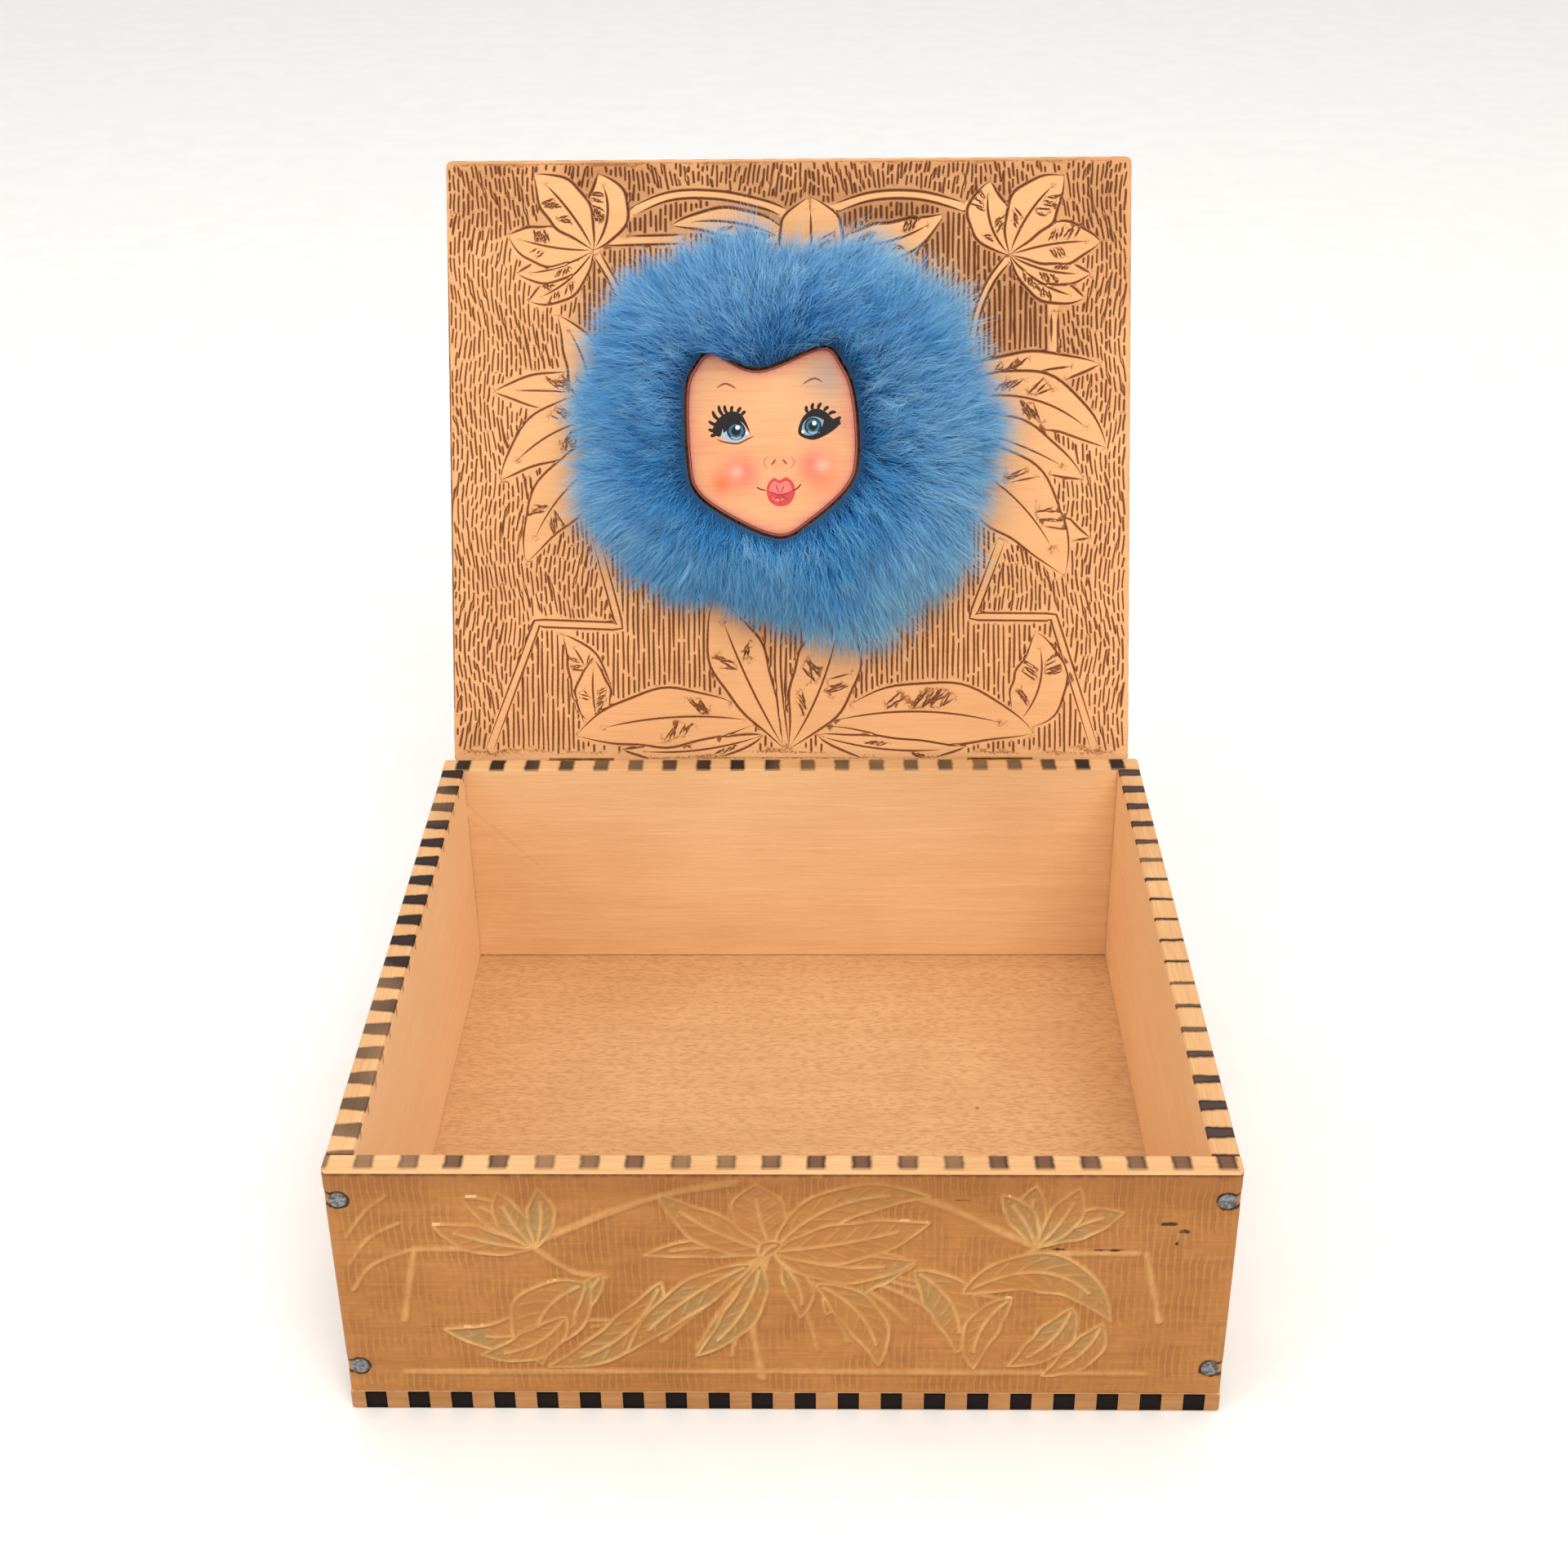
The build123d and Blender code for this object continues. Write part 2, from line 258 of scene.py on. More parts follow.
@dataclass(frozen=True)
class BurnedBasswood(Basswood):
    """Basswood drawn on with a hot point: each line is tan at its edges and darkest along its bottom.

    The mesh's "burn" attribute is 0 on bare wood and rises along the bottom of a groove with the heat of the
    point, up to 1. Its "ground" attribute is how scorched the wood between the background strokes is.

    Attributes:
        scorch: The colour of scorched ground.
    """

    scorch: str = "#a66f43"

    def surface(self, add: Callable, place: Socket) -> dict:
        """Bare wood, with the scorched ground and then the burned lines over it."""
        colour, height = self.wood(add, place)
        burn = add("Attribute", output="Fac", attribute_name="burn")
        ground = add("Attribute", output="Fac", attribute_name="ground")
        speckle = add("TexNoise", {"Vector": place, "Scale": 1500.0})
        patch = add("TexNoise", {"Vector": place, "Scale": 55.0, "Detail": 3.0})
        smoky = add("Math", (patch, 0.9, ground), operation="MULTIPLY_ADD")
        haze = add("MapRange", (smoky, 0.72, 1.5, 0.0, 0.85))
        haze = add("Math", (haze, ground), operation="MINIMUM")
        colour = add("MixRGB", (haze, colour, self.scorch))
        ragged = add("Math", (speckle, 0.3, burn), operation="MULTIPLY_ADD")
        uneven = add("Math", (patch, 0.16, ragged), operation="MULTIPLY_ADD")
        level = add("MapRange", (uneven, 0.36, 1.2))
        burned = ramp_between(
            add, level, (0.0, "#a96d3d"), (0.3, "#8a5229"), (0.62, "#683a1d"), (1.0, "#3a1c0e")
        )
        cover = add("MapRange", (level, 0.0, 0.12))
        drawn = add("MixRGB", (cover, colour, burned))
        return {"Base Color": drawn, "Normal": self.bump(add, height, 0.08)}


@dataclass(frozen=True)
class PressedBasswood(Basswood):
    """Basswood pressed with a hot die and shellacked: amber and ribbed, with grey leaves and worn ridges,
    lightened further as a painted highlight.

    The mesh's "ridge" attribute is 1 along a raised line and "shade" just below it, a painted shadow cast by
    the line, "leaf" is 1 inside a leaf, "rib" is 1 on the ribbed ground, and "scuff" is 1 where the shellac
    is black.

    Attributes:
        ridge: The colour of a raised line: worn lighter, and lighter still as a painted highlight.
        leaf: The colour inside a leaf.
        hollow: The colour of the hollows between the ribs.
        run: The direction along the board.
        pitch: Distance from rib to rib.
        top: Height of the board's top edge in the frame.
    """

    light: str = "#bd8144"
    dark: str = "#a26930"
    ridge: str = "#e4b06c"
    leaf: str = "#9b8050"
    hollow: str = "#8d5829"
    run: Triple = (1.0, 0.0, 0.0)
    pitch: float = 1.7
    top: float = 72.0

    def ribs(self, add: Callable, place: Socket) -> Socket:
        """Returns how deep each place lies between the ribs, from 0 to 1."""
        wobble = add("TexNoise", {"Vector": place, "Scale": 120.0})
        scaled = tuple(r / (self.pitch * MM) for r in self.run)
        turns = add("VectorMath", (place, scaled), output="Value", operation="DOT_PRODUCT")
        turns = add("Math", (wobble, 1.6, turns), operation="MULTIPLY_ADD")
        fold = add("Math", (turns, 0.5), operation="PINGPONG")
        deep = add("MapRange", (fold, 0.16, 0.4), interpolation_type="SMOOTHSTEP")
        faint = add("MapRange", (wobble, 0.35, 0.6))
        deep = add("Math", (deep, faint), operation="MULTIPLY")
        bare = add("Attribute", output="Fac", attribute_name="rib")
        return add("Math", (deep, bare), operation="MULTIPLY")

    def surface(self, add: Callable, place: Socket) -> dict:
        """Amber wood, coloured by its relief, darker near the rim, with a few black scuffs."""
        colour, height = self.wood(add, place)
        ribs = self.ribs(add, place)
        blotch = add("TexNoise", {"Vector": place, "Scale": 48.0, "Detail": 4.0})
        mottle = add("TexNoise", {"Vector": place, "Scale": 420.0, "Detail": 3.0})
        worn = add("MapRange", (blotch, 0.47, 0.62))
        # the "shade" layer is painted shadow under each raised line; the "ridge" layer is wear and partly
        # painted highlight
        layers = (
            ("leaf", "#ab733a", 0.5, height), ("leaf", self.leaf, 0.75, worn), ("", self.hollow, 0.4, ribs),
            ("shade", "#75431b", 1.3, blotch), ("ridge", self.ridge, 1.5, blotch),
        )
        for label, code, strength, mask in layers:
            share = add("Math", (mask, strength), operation="MULTIPLY")
            if label:
                value = add("Attribute", output="Fac", attribute_name=label)
                share = add("Math", (value, share), operation="MULTIPLY")
            colour = add("MixRGB", (share, colour, code))
        speck = add("MapRange", (mottle, 0.4, 0.75, 0.0, 0.35))
        colour = add("MixRGB", (speck, colour, "#9a5f2e"))
        up = add("SeparateXYZ", (place,), output="Z")
        for rough, reach, strength, code in ((blotch, 16.0, 0.5, "#8f5626"), (mottle, 1.5, 0.95, "#5a2d12")):
            wavy = add("Math", (rough, reach * MM, up), operation="MULTIPLY_ADD")
            start = (self.top - 0.35 * reach) * MM
            dark = add("MapRange", (wavy, start, start + 0.7 * reach * MM, 0.0, strength))
            colour = add("MixRGB", (dark, colour, code))
        scuff = add("Attribute", output="Fac", attribute_name="scuff")
        torn = add("Math", (mottle, 0.9, scuff), operation="MULTIPLY_ADD")
        black = add("MapRange", (torn, 0.95, 1.1, 0.0, 0.9))
        colour = add("MixRGB", (black, colour, "#24130b"))
        sunk = add("Math", (ribs, -1.5, height), operation="MULTIPLY_ADD")
        return {"Base Color": colour, "Normal": self.bump(add, sunk, 0.14)}


@dataclass(frozen=True)
class CheckedEdge(Basswood):
    """A board's edge with marks pressed across it by the flat of a hot iron, uneven and blurred.

    Attributes:
        run: The direction along the edge.
        start: A point in metres in the middle of a mark.
        pitch: Distance from mark to mark.
        mark: Length of a mark at its near end.
        across: The direction across the edge, from a mark's near end to its far end.
        near: How far along that direction a mark begins, in millimetres in the frame.
        far: How far along it ends.
        taper: How much narrower its far end is, from 0 to 1.
        ink: The colour of a mark.
        inner: The colour in the middle of a mark.
        strength: How black the marks are, from 0 to 1.
        wear: How much thinner the marks are halfway along the board, from 0 to 1.
        blur: How softly a mark ends, as a share of the pitch.
    """

    light: str = "#e9b884"
    dark: str = "#c8925c"
    run: Triple = (1.0, 0.0, 0.0)
    start: Triple = (0.0, 0.0, 0.0)
    pitch: float = 10.1
    mark: float = 4.2
    across: Triple = (0.0, 0.0, 1.0)
    near: float = -1000.0
    far: float = 1000.0
    taper: float = 0.0
    ink: str = "#20120c"
    inner: str = "#20120c"
    strength: float = 1.0
    wear: float = 0.0
    blur: float = 0.07

    def surface(self, add: Callable, place: Socket) -> dict:
        """Wood with marks every pitch along the run."""
        colour, height = self.wood(add, place)
        wobble = add("TexNoise", {"Vector": place, "Scale": 500.0, "Detail": 3.0})
        patch = add("TexNoise", {"Vector": place, "Scale": 36.0, "Detail": 1.0})
        moved = add("VectorMath", (place, self.start), operation="SUBTRACT")
        scaled = tuple(r / (self.pitch * MM) for r in self.run)
        turns = add("VectorMath", (moved, scaled), output="Value", operation="DOT_PRODUCT")
        turns = add("Math", (patch, 0.12, turns), operation="MULTIPLY_ADD")
        shaky = add("Math", (wobble, 0.09, turns), operation="MULTIPLY_ADD")
        shaky = add("Math", (shaky, -0.105), operation="ADD")
        fold = add("Math", (shaky, 0.5), operation="PINGPONG")
        side = add("VectorMath", (place, self.across), output="Value", operation="DOT_PRODUCT")
        along = add("MapRange", (side, self.near * MM, self.far * MM), clamp=False)
        thin = add("Math", (along, -self.taper, 1.0), operation="MULTIPLY_ADD")
        middle = add("VectorMath", (place, self.run), output="Value", operation="DOT_PRODUCT")
        middle = add("Math", (middle,), operation="ABSOLUTE")
        faded = add("MapRange", (middle, 0.02, 0.075, 1 - self.wear, 1.0))
        half = add("Math", (thin, faded), operation="MULTIPLY")
        half = add("Math", (half, 0.5 * self.mark / self.pitch), operation="MULTIPLY")
        margin = add("Math", (half, fold), operation="SUBTRACT")
        inside = add("MapRange", (margin, -self.blur / 2, self.blur / 2))
        spread = 0.6 / abs(self.far - self.near)
        for edge, way in ((0.0, 1), (1.0, -1)):
            cut = add("MapRange", (along, edge - way * spread, edge + way * spread))
            inside = add("Math", (inside, cut), operation="MULTIPLY")
        fade = add("MapRange", (patch, 0.3, 0.6, 0.7 * self.strength, self.strength))
        amount = add("Math", (inside, fade), operation="MULTIPLY")
        deep = add("MapRange", (margin, 0.03, 0.11))
        ink = add("MixRGB", (deep, self.ink, self.inner))
        colour = add("MixRGB", (amount, colour, ink))
        sunk = add("Math", (inside, -3.0, height), operation="MULTIPLY_ADD")
        return {"Base Color": colour, "Normal": self.bump(add, sunk, 0.12)}


@dataclass(frozen=True)
class ArtistsPaint(Finish):
    """Thin artist's paint over sanded wood, under satin varnish: the grain and the brush just show.

    The mesh's "paint" attribute holds the colour that was brushed on each place.
    """

    def surface(self, add: Callable, place: Socket) -> dict:
        """The painted colour, streaked a little along the grain."""
        paint = add("Attribute", output="Color", attribute_name="paint")
        along = add("Mapping", {"Vector": place, "Scale": (70.0, 1500.0, 1500.0)})
        streak = add("TexNoise", {"Vector": along, "Scale": 1.0, "Detail": 3.0})
        amount = add("MapRange", (streak, 0.45, 0.75, 0.0, 0.24))
        colour = add("MixRGB", (amount, paint, "#d98a52"), blend_type="MULTIPLY")
        return {"Base Color": colour, "Normal": self.bump(add, streak, 0.06)}


@dataclass(frozen=True)
class DyedFur(Finish):
    """Sheepskin pile dyed sky blue: each hair is deep blue at its root and paler and drier towards its tip;
    the deep blue at the root is partly painted shade, deep in the pile.

    A hair's UV map runs across by how pale that hair is and up from its root to its tip.

    Attributes:
        root: The colour at a hair's root.
        middle: The colour halfway up it.
        tip: The colour at its tip.
    """

    root: str = "#165f9a"
    middle: str = "#2f9ce2"
    tip: str = "#a9e2ff"

    def surface(self, add: Callable, place: Socket) -> dict:
        """Root to tip colours, shifted from hair to hair."""
        hair = add("UVMap", uv_map="hair")
        pale, height = (add("SeparateXYZ", (hair,), output=axis) for axis in "XY")
        level = add("Math", (pale, 0.55, height), operation="MULTIPLY_ADD")
        along = add("MapRange", (level, 0.1, 1.4))
        colour = ramp_between(add, along, (0.0, self.root), (0.45, self.middle), (1.0, self.tip))
        return {"Base Color": colour, "Sheen Weight": 0.2, "Sheen Roughness": 0.5, "Sheen Tint": "#bfe0fb"}


@dataclass(frozen=True)
class MetalWork(Finish):
    """Small hardware of drawn or stamped metal, dulled by age, with darker spots of tarnish or rust.

    Attributes:
        bright: The colour where it is rubbed clean.
        tarnish: The colour where it has gone dull.
        spot: Size of a spot.
    """

    bright: str = "#9a8f7e"
    tarnish: str = "#5a5148"
    spot: float = 1.2

    def surface(self, add: Callable, place: Socket) -> dict:
        """Metal with spots that are duller and less metallic."""
        spots = add("TexNoise", {"Vector": place, "Scale": 1.0 / (self.spot * MM), "Detail": 4.0})
        level = add("MapRange", (spots, 0.38, 0.62))
        rough = add("MapRange", (level, 0.0, 1.0, self.roughness + 0.2, self.roughness))
        colour = ramp_between(add, level, (0.0, self.tarnish), (1.0, self.bright))
        bump = self.bump(add, spots, 0.05)
        return {"Base Color": colour, "Metallic": 0.75, "Roughness": rough, "Normal": bump}


@dataclass(frozen=True)
class HideLeather(Finish):
    """The flesh side of a dyed sheepskin: a grey-blue suede nap with a fine pebble."""

    def surface(self, add: Callable, place: Socket) -> dict:
        """Suede, mottled where the dye soaked in unevenly."""
        nap = add("TexNoise", {"Vector": place, "Scale": 500.0, "Detail": 4.0})
        colour = ramp_between(add, nap, (0.3, "#4c6f8c"), (0.7, "#88a2b2"))
        return {"Base Color": colour, "Normal": self.bump(add, nap, 0.15)}


@dataclass(frozen=True)
class MattPaper(Finish):
    """Matt white paper, very slightly uneven."""

    def surface(self, add: Callable, place: Socket) -> dict:
        """Paper with a faint pulp pattern."""
        pulp = add("TexNoise", {"Vector": place, "Scale": 40.0, "Detail": 3.0})
        return {"Base Color": ramp_between(add, pulp, (0.3, "#f4f3f1"), (0.7, "#f8f7f5"))}


# ---------------------------------------------------------------- drawing on a flat face


def smooth_line(points: list[Point], count: int, closed: bool = False) -> Array:
    """Runs a smooth line through some points.

    Args:
        points: The points that the line passes through.
        count: How many points to return between one given point and the next.
        closed: Whether the line joins up with its start.

    Returns:
        The line, as an array of points.
    """
    p = np.array(points, float)
    before, after = (p[-1:], p[:2]) if closed else (2 * p[:1] - p[1:2], 2 * p[-1:] - p[-2:-1])
    p = np.vstack([before, p, after])
    t = np.linspace(0, 1, count, endpoint=False)[:, None]
    spans = []
    for a, b, c, d in zip(p, p[1:], p[2:], p[3:]):
        bend = 2 * b + (c - a) * t + (2 * a - 5 * b + 4 * c - d) * t**2 + (3 * b - a - 3 * c + d) * t**3
        spans.append(bend / 2)
    line = np.vstack(spans)
    return line if closed else np.vstack([line, p[-2:-1]])


def normals(line: Array) -> Array:
    """Unit vectors to the left of a line, one for each of its points."""
    way = np.gradient(line, axis=0)
    way /= np.maximum(np.linalg.norm(way, axis=1), 1e-9)[:, None]
    return np.stack([-way[:, 1], way[:, 0]], axis=1)


def nearest_on(line: Array, points: Array) -> tuple[Array, Array]:
    """Finds the place on a line that is nearest to each point.

    Args:
        line: The points along the line.
        points: The points to measure from.

    Returns:
        The distance to that place, and how far along the line it is, from 0 to 1.
    """
    best, share = np.full(len(points), np.inf), np.zeros(len(points))
    for i, (a, b) in enumerate(zip(line, line[1:])):
        way = b - a
        along = np.clip((points - a) @ way / max(way @ way, 1e-9), 0, 1)
        away = np.hypot(*(points - a - along[:, None] * way).T)
        nearer = away < best
        best[nearer] = away[nearer]
        share[nearer] = (i + along[nearer]) / (len(line) - 1)
    return best, share


def inside(points: Array, outline: Array) -> Array:
    """Tells which points lie inside a closed outline.

    Args:
        points: The points to test.
        outline: The outline's corners, in order.

    Returns:
        True or False for each point.
    """
    x, y = points[:, 0], points[:, 1]
    found = np.zeros(len(points), bool)
    near = (x > outline[:, 0].min()) & (x < outline[:, 0].max())
    near &= (y > outline[:, 1].min()) & (y < outline[:, 1].max())
    x, y = x[near], y[near]
    odd = np.zeros(len(x), bool)
    for (x0, y0), (x1, y1) in zip(outline, np.roll(outline, -1, axis=0)):
        if y0 != y1:
            odd ^= ((y0 > y) != (y1 > y)) & (x < x0 + (y - y0) * (x1 - x0) / (y1 - y0))
    found[near] = odd
    return found


@dataclass
class Stroke:
    """One stroke of a hot point or a brush, thickest in the middle and pointed at its ends.

    Attributes:
        line: The points along its middle.
        width: Its greatest width.
        heat: How dark it is burned, from 0 to 1.
    """

    line: Array
    width: float
    heat: float = 1.0

    def sides(self) -> tuple[Array, Array]:
        """Returns its left and right sides, without the two ends."""
        t = np.linspace(-1, 1, len(self.line))
        half = 0.5 * self.width * (1 - t**4)
        shift = (normals(self.line) * half[:, None])[1:-1]
        return self.line[1:-1] + shift, self.line[1:-1] - shift

    def outline(self) -> Array:
        """Returns its closed outline."""
        left, right = self.sides()
        return np.vstack([self.line[:1], left, self.line[-1:], right[::-1]])

    def kept(self, keep: Array, shortest: float = 0.9) -> list["Stroke"]:
        """Cuts it where it may not show.

        Args:
            keep: True for each of its points that may show.
            shortest: Pieces under this length are dropped.

        Returns:
            The pieces that are left.
        """
        pieces = []
        edges = np.flatnonzero(np.diff(np.concatenate([[0], keep.astype(int), [0]])))
        for start, stop in zip(edges[::2], edges[1::2]):
            line = self.line[start:stop]
            if len(line) >= 3 and np.linalg.norm(np.diff(line, axis=0), axis=1).sum() >= shortest:
                pieces.append(Stroke(line, self.width, self.heat))
        return pieces

    def simpler(self) -> "Stroke":
        """Returns it with only as many points as its length needs, and with blunt ends."""
        steps = np.concatenate([[0], np.cumsum(np.linalg.norm(np.diff(self.line, axis=0), axis=1))])
        blunt = min(0.35, 0.25 * steps[-1])
        at = np.concatenate([[0], np.linspace(blunt, steps[-1] - blunt, 2 + int(steps[-1] / 4)), [steps[-1]]])
        line = np.stack([np.interp(at, steps, self.line[:, k]) for k in (0, 1)], axis=1)
        return Stroke(line, self.width, self.heat)


@dataclass
class Leaf:
    """A leaf or petal: a pointed shape on a bent spine.

    Attributes:
        base: Where it grows from.
        tip: Where it ends.
        width: Its greatest width.
        bend: How far its spine bows to the left, as a share of its length.
        belly: How far along it is widest.
        teeth: How many notches each side has.
        shading: How many small patches of shading strokes it has.
        line_width: Width of its edge lines.
    """

    base: Point
    tip: Point
    width: float
    bend: float = 0.0
    belly: float = 0.45
    teeth: int = 0
    shading: int = 2
    line_width: float = 1.15

    def spine(self, count: int = 26) -> Array:
        """Returns points along its spine, from base to tip."""
        a, c = np.array(self.base, float), np.array(self.tip, float)
        b = (a + c) / 2 + np.array([-(c - a)[1], (c - a)[0]]) * self.bend * 2
        t = np.linspace(0, 1, count)[:, None]
        return a * (1 - t)**2 + 2 * b * t * (1 - t) + c * t**2

    def half_width(self, t: Array) -> Array:
        """Returns half its width at each share t of its length."""
        t = np.clip(t, 0, 1)
        swell = np.sin(pi * t**(log(0.5) / log(self.belly)))**0.85
        wave = 1 + 0.05 * np.sin(t * 17 + self.tip[0]) - 0.05
        if self.teeth:
            wave = wave - 0.16 * (t * self.teeth % 1.0)
        return self.width / 2 * swell * wave

    def edges(self) -> tuple[Array, Array]:
        """Returns its left and right edges, from base to tip."""
        spine = self.spine()
        half = self.half_width(np.linspace(0, 1, len(spine)))[:, None]
        shift = normals(spine) * half
        return spine + shift, spine - shift

    def outline(self) -> Array:
        """Returns its closed outline."""
        left, right = self.edges()
        return np.vstack([left, right[-2:0:-1]])

    def strokes(self, rng: np.random.Generator) -> list[Stroke]:
        """Returns the strokes that draw it: its edges, its vein, side veins and shading."""
        left, right = self.edges()
        spine = self.spine()
        drawn = [Stroke(left, self.line_width), Stroke(right, self.line_width)]
        drawn.append(Stroke(spine[1:22], 0.8 * self.line_width))
        across = normals(spine)
        length = hypot(self.tip[0] - self.base[0], self.tip[1] - self.base[1])
        for _ in range(self.shading):
            side = rng.choice([-1, 1])
            start = rng.integers(5, 17)
            for k in range(rng.integers(4, 8)):
                i = int(min(start + k * 18 // length, 24))
                reach = self.half_width(np.array([i / 25]))[0]
                near = spine[i] + side * across[i] * reach * rng.uniform(0.1, 0.35)
                far = spine[i] + side * across[i] * reach * rng.uniform(0.5, 0.85)
                far = far + (spine[i] - spine[i - 1]) * rng.uniform(0.8, 2.4)
                mark = near + (far - near) * np.linspace(0, 1, 4)[:, None]
                drawn.append(Stroke(mark, min(0.85, 0.035 * length)))
        return drawn

    def field(self, points: Array) -> tuple[Array, Array, Array]:
        """Measures it from each of some points.

        Args:
            points: The points on the face.

        Returns:
            The distance outside its edge (negative inside), the distance from its spine, and how far along.
        """
        away, share = nearest_on(self.spine(), points)
        return away - self.half_width(share), away, share


@dataclass
class Band:
    """A bare band between two drawn lines, such as a stem or a border.

    Attributes:
        points: The points that it runs through.
        width: Its width.
        sharp: Whether it turns sharply at its points.
        line_width: Width of the two lines.
    """

    points: list[Point]
    width: float = 2.0
    sharp: bool = False
    line_width: float = 1.0

    def line(self) -> Array:
        """Returns its middle line."""
        if not self.sharp:
            return smooth_line(self.points, 7)
        p = np.array(self.points, float)
        share = np.linspace(0, 1, 12, endpoint=False)[:, None]
        return np.vstack([a + (b - a) * share for a, b in zip(p, p[1:])] + [p[-1:]])

    def outline(self) -> Array:
        """Returns its closed outline."""
        line = self.line()
        shift = normals(line) * self.width / 2
        return np.vstack([line + shift, (line - shift)[::-1]])

    def strokes(self, rng: np.random.Generator) -> list[Stroke]:
        """Returns the two lines that draw it."""
        line = self.line()
        shift = normals(line) * self.width / 2
        return [Stroke(line + side * shift, self.line_width) for side in (-1, 1)]

    def field(self, points: Array) -> tuple[Array, Array, Array]:
        """Measures it from each of some points, as a leaf's own field does."""
        away, share = nearest_on(self.line(), points)
        return away - self.width / 2, away, share


@dataclass
class Drawing:
    """Leaves and bands laid over one another on one face, the last on top, and the hatching behind them.

    Attributes:
        shapes: The leaves and bands, from the back to the front.
        dark: How darkly the whole face is burned, from 0 to 1.
        scorched: Darker areas, each as its centre, its two radii and how much darker it is.
        seed: Fixes the hand's small irregularities.
    """

    shapes: list[Leaf | Band]
    dark: float = 0.5
    scorched: tuple[tuple[float, float, float, float, float], ...] = ()
    seed: int = 7

    def tone(self, points: Array) -> Array:
        """Returns how darkly the face is burned at each point, from 0 to 1."""
        tone = np.full(len(points), self.dark)
        for x, y, wide, high, more in self.scorched:
            tone += more * np.exp(-((points[:, 0] - x) / wide)**4 - ((points[:, 1] - y) / high)**4)
        return np.clip(tone, 0.05, 1.0)

    def ground(self, points: Array) -> Array:
        """Returns how scorched the background is at each point, which is 0 within the shapes."""
        value = self.tone(points)
        for shape in self.shapes:
            value[inside(points, shape.outline())] = 0.0
        return value

    def line_work(self) -> list[Stroke]:
        """Returns every stroke of the shapes that isn't under a later shape."""
        rng = np.random.default_rng(self.seed)
        outlines = [shape.outline() for shape in self.shapes]
        drawn = []
        for i, shape in enumerate(self.shapes):
            for stroke in shape.strokes(rng):
                keep = np.ones(len(stroke.line), bool)
                for cover in outlines[i + 1:]:
                    keep &= ~inside(stroke.line, cover)
                drawn += stroke.kept(keep)
        return drawn

    def behind(self, strokes: list[Stroke], margin: float = 0.5) -> list[Stroke]:
        """Cuts strokes that lie behind the shapes.

        Args:
            strokes: The strokes, such as hatching.
            margin: How far they stay clear of a shape's edge.

        Returns:
            What shows of them.
        """
        points = np.vstack([s.line for s in strokes])
        hidden = np.zeros(len(points), bool)
        for shape in self.shapes:
            outline = shape.outline()
            low, high = outline.min(0) - margin, outline.max(0) + margin
            near = np.flatnonzero(((points > low) & (points < high)).all(axis=1) & ~hidden)
            if len(near):
                hidden[near] = shape.field(points[near])[0] < margin
        shown, first = [], 0
        for s in strokes:
            shown += s.kept(~hidden[first:first + len(s.line)])
            first += len(s.line)
        return shown


@dataclass(frozen=True)
class Panel:
    """A board's flat face: x runs to its right, y up, and z out of the wood, in millimetres.

    Attributes:
        origin: Where its x, y and z are 0, in metres in the frame.
        right: The direction of x.
        up: The direction of y.
    """

    origin: Vector
    right: Vector
    up: Vector

    def matrix(self) -> Matrix:
        """Returns the matrix that takes millimetres on the face to metres in the frame."""
        out = self.right.cross(self.up)
        turn = Matrix((self.right, self.up, out)).transposed().to_4x4()
        return Matrix.Translation(self.origin) @ turn @ Matrix.Scale(MM, 4)

    def place(self, obj: Object) -> Object:
        """Puts an object made on the face where it belongs, with its own origin at the frame's."""
        obj.data.transform(self.matrix())
        obj.matrix_world = Matrix.Identity(4)
        obj.data.update()
        return obj


# ---------------------------------------------------------------- modelling by hand


def only(*objects: Object) -> None:
    """Selects these objects alone and makes the first one active."""
    bpy.ops.object.select_all(action="DESELECT")
    for obj in objects:
        obj.select_set(True)
    bpy.context.view_layer.objects.active = objects[0]


def added(operator: Callable, **settings) -> Object:
    """Runs an operator that adds an object, and returns that object."""
    operator(**settings)
    return bpy.context.active_object


def modify(obj: Object, kind: str, **settings) -> None:
    """Gives an object one modifier with these settings and applies it."""
    only(obj)
    modifier = obj.modifiers.new(kind, kind)
    for key, value in settings.items():
        setattr(modifier, key, value)
    bpy.ops.object.modifier_apply(modifier=modifier.name)


def coat(obj: Object, *finishes: Finish) -> None:
    """Gives an object its finishes, in the order of their numbers on its faces."""
    for finish in finishes:
        obj.data.materials.append(finish.make())


def named(obj: Object, name: str) -> Object:
    """Gives an object and its mesh a name, and returns it."""
    obj.name = obj.data.name = name
    return obj


def from_points(name: str, points: Array, faces: list) -> Object:
    """Makes an object from points and faces worked out in code."""
    mesh = bpy.data.meshes.new(name)
    mesh.from_pydata(points.tolist(), [], faces)
    mesh.update()
    obj = bpy.data.objects.new(name, mesh)
    bpy.context.scene.collection.objects.link(obj)
    return obj


def set_values(obj: Object, name: str, values: Array) -> None:
    """Stores one number for each point of a mesh."""
    attribute = obj.data.attributes.new(name, "FLOAT", "POINT")
    attribute.data.foreach_set("value", values.astype(np.float32))


def points_of(obj: Object) -> Array:
    """Returns a mesh's points as an array."""
    co = np.empty(len(obj.data.vertices) * 3, np.float32)
    obj.data.vertices.foreach_get("co", co)
    return co.reshape(-1, 3).astype(float)


def move_points(obj: Object, points: Array) -> None:
    """Puts a mesh's points at new places."""
    obj.data.vertices.foreach_set("co", points.astype(np.float32).ravel())
    obj.data.update()


def select_rim(obj: Object) -> None:
    """Goes into edit mode with an object's open rims selected."""
    only(obj)
    bpy.ops.object.mode_set(mode="EDIT")
    bpy.ops.mesh.select_mode(type="EDGE")
    bpy.ops.mesh.select_all(action="DESELECT")
    bpy.ops.mesh.select_non_manifold(
        extend=False, use_wire=False, use_boundary=True, use_multi_face=False, use_non_contiguous=False,
        use_verts=False,
    )


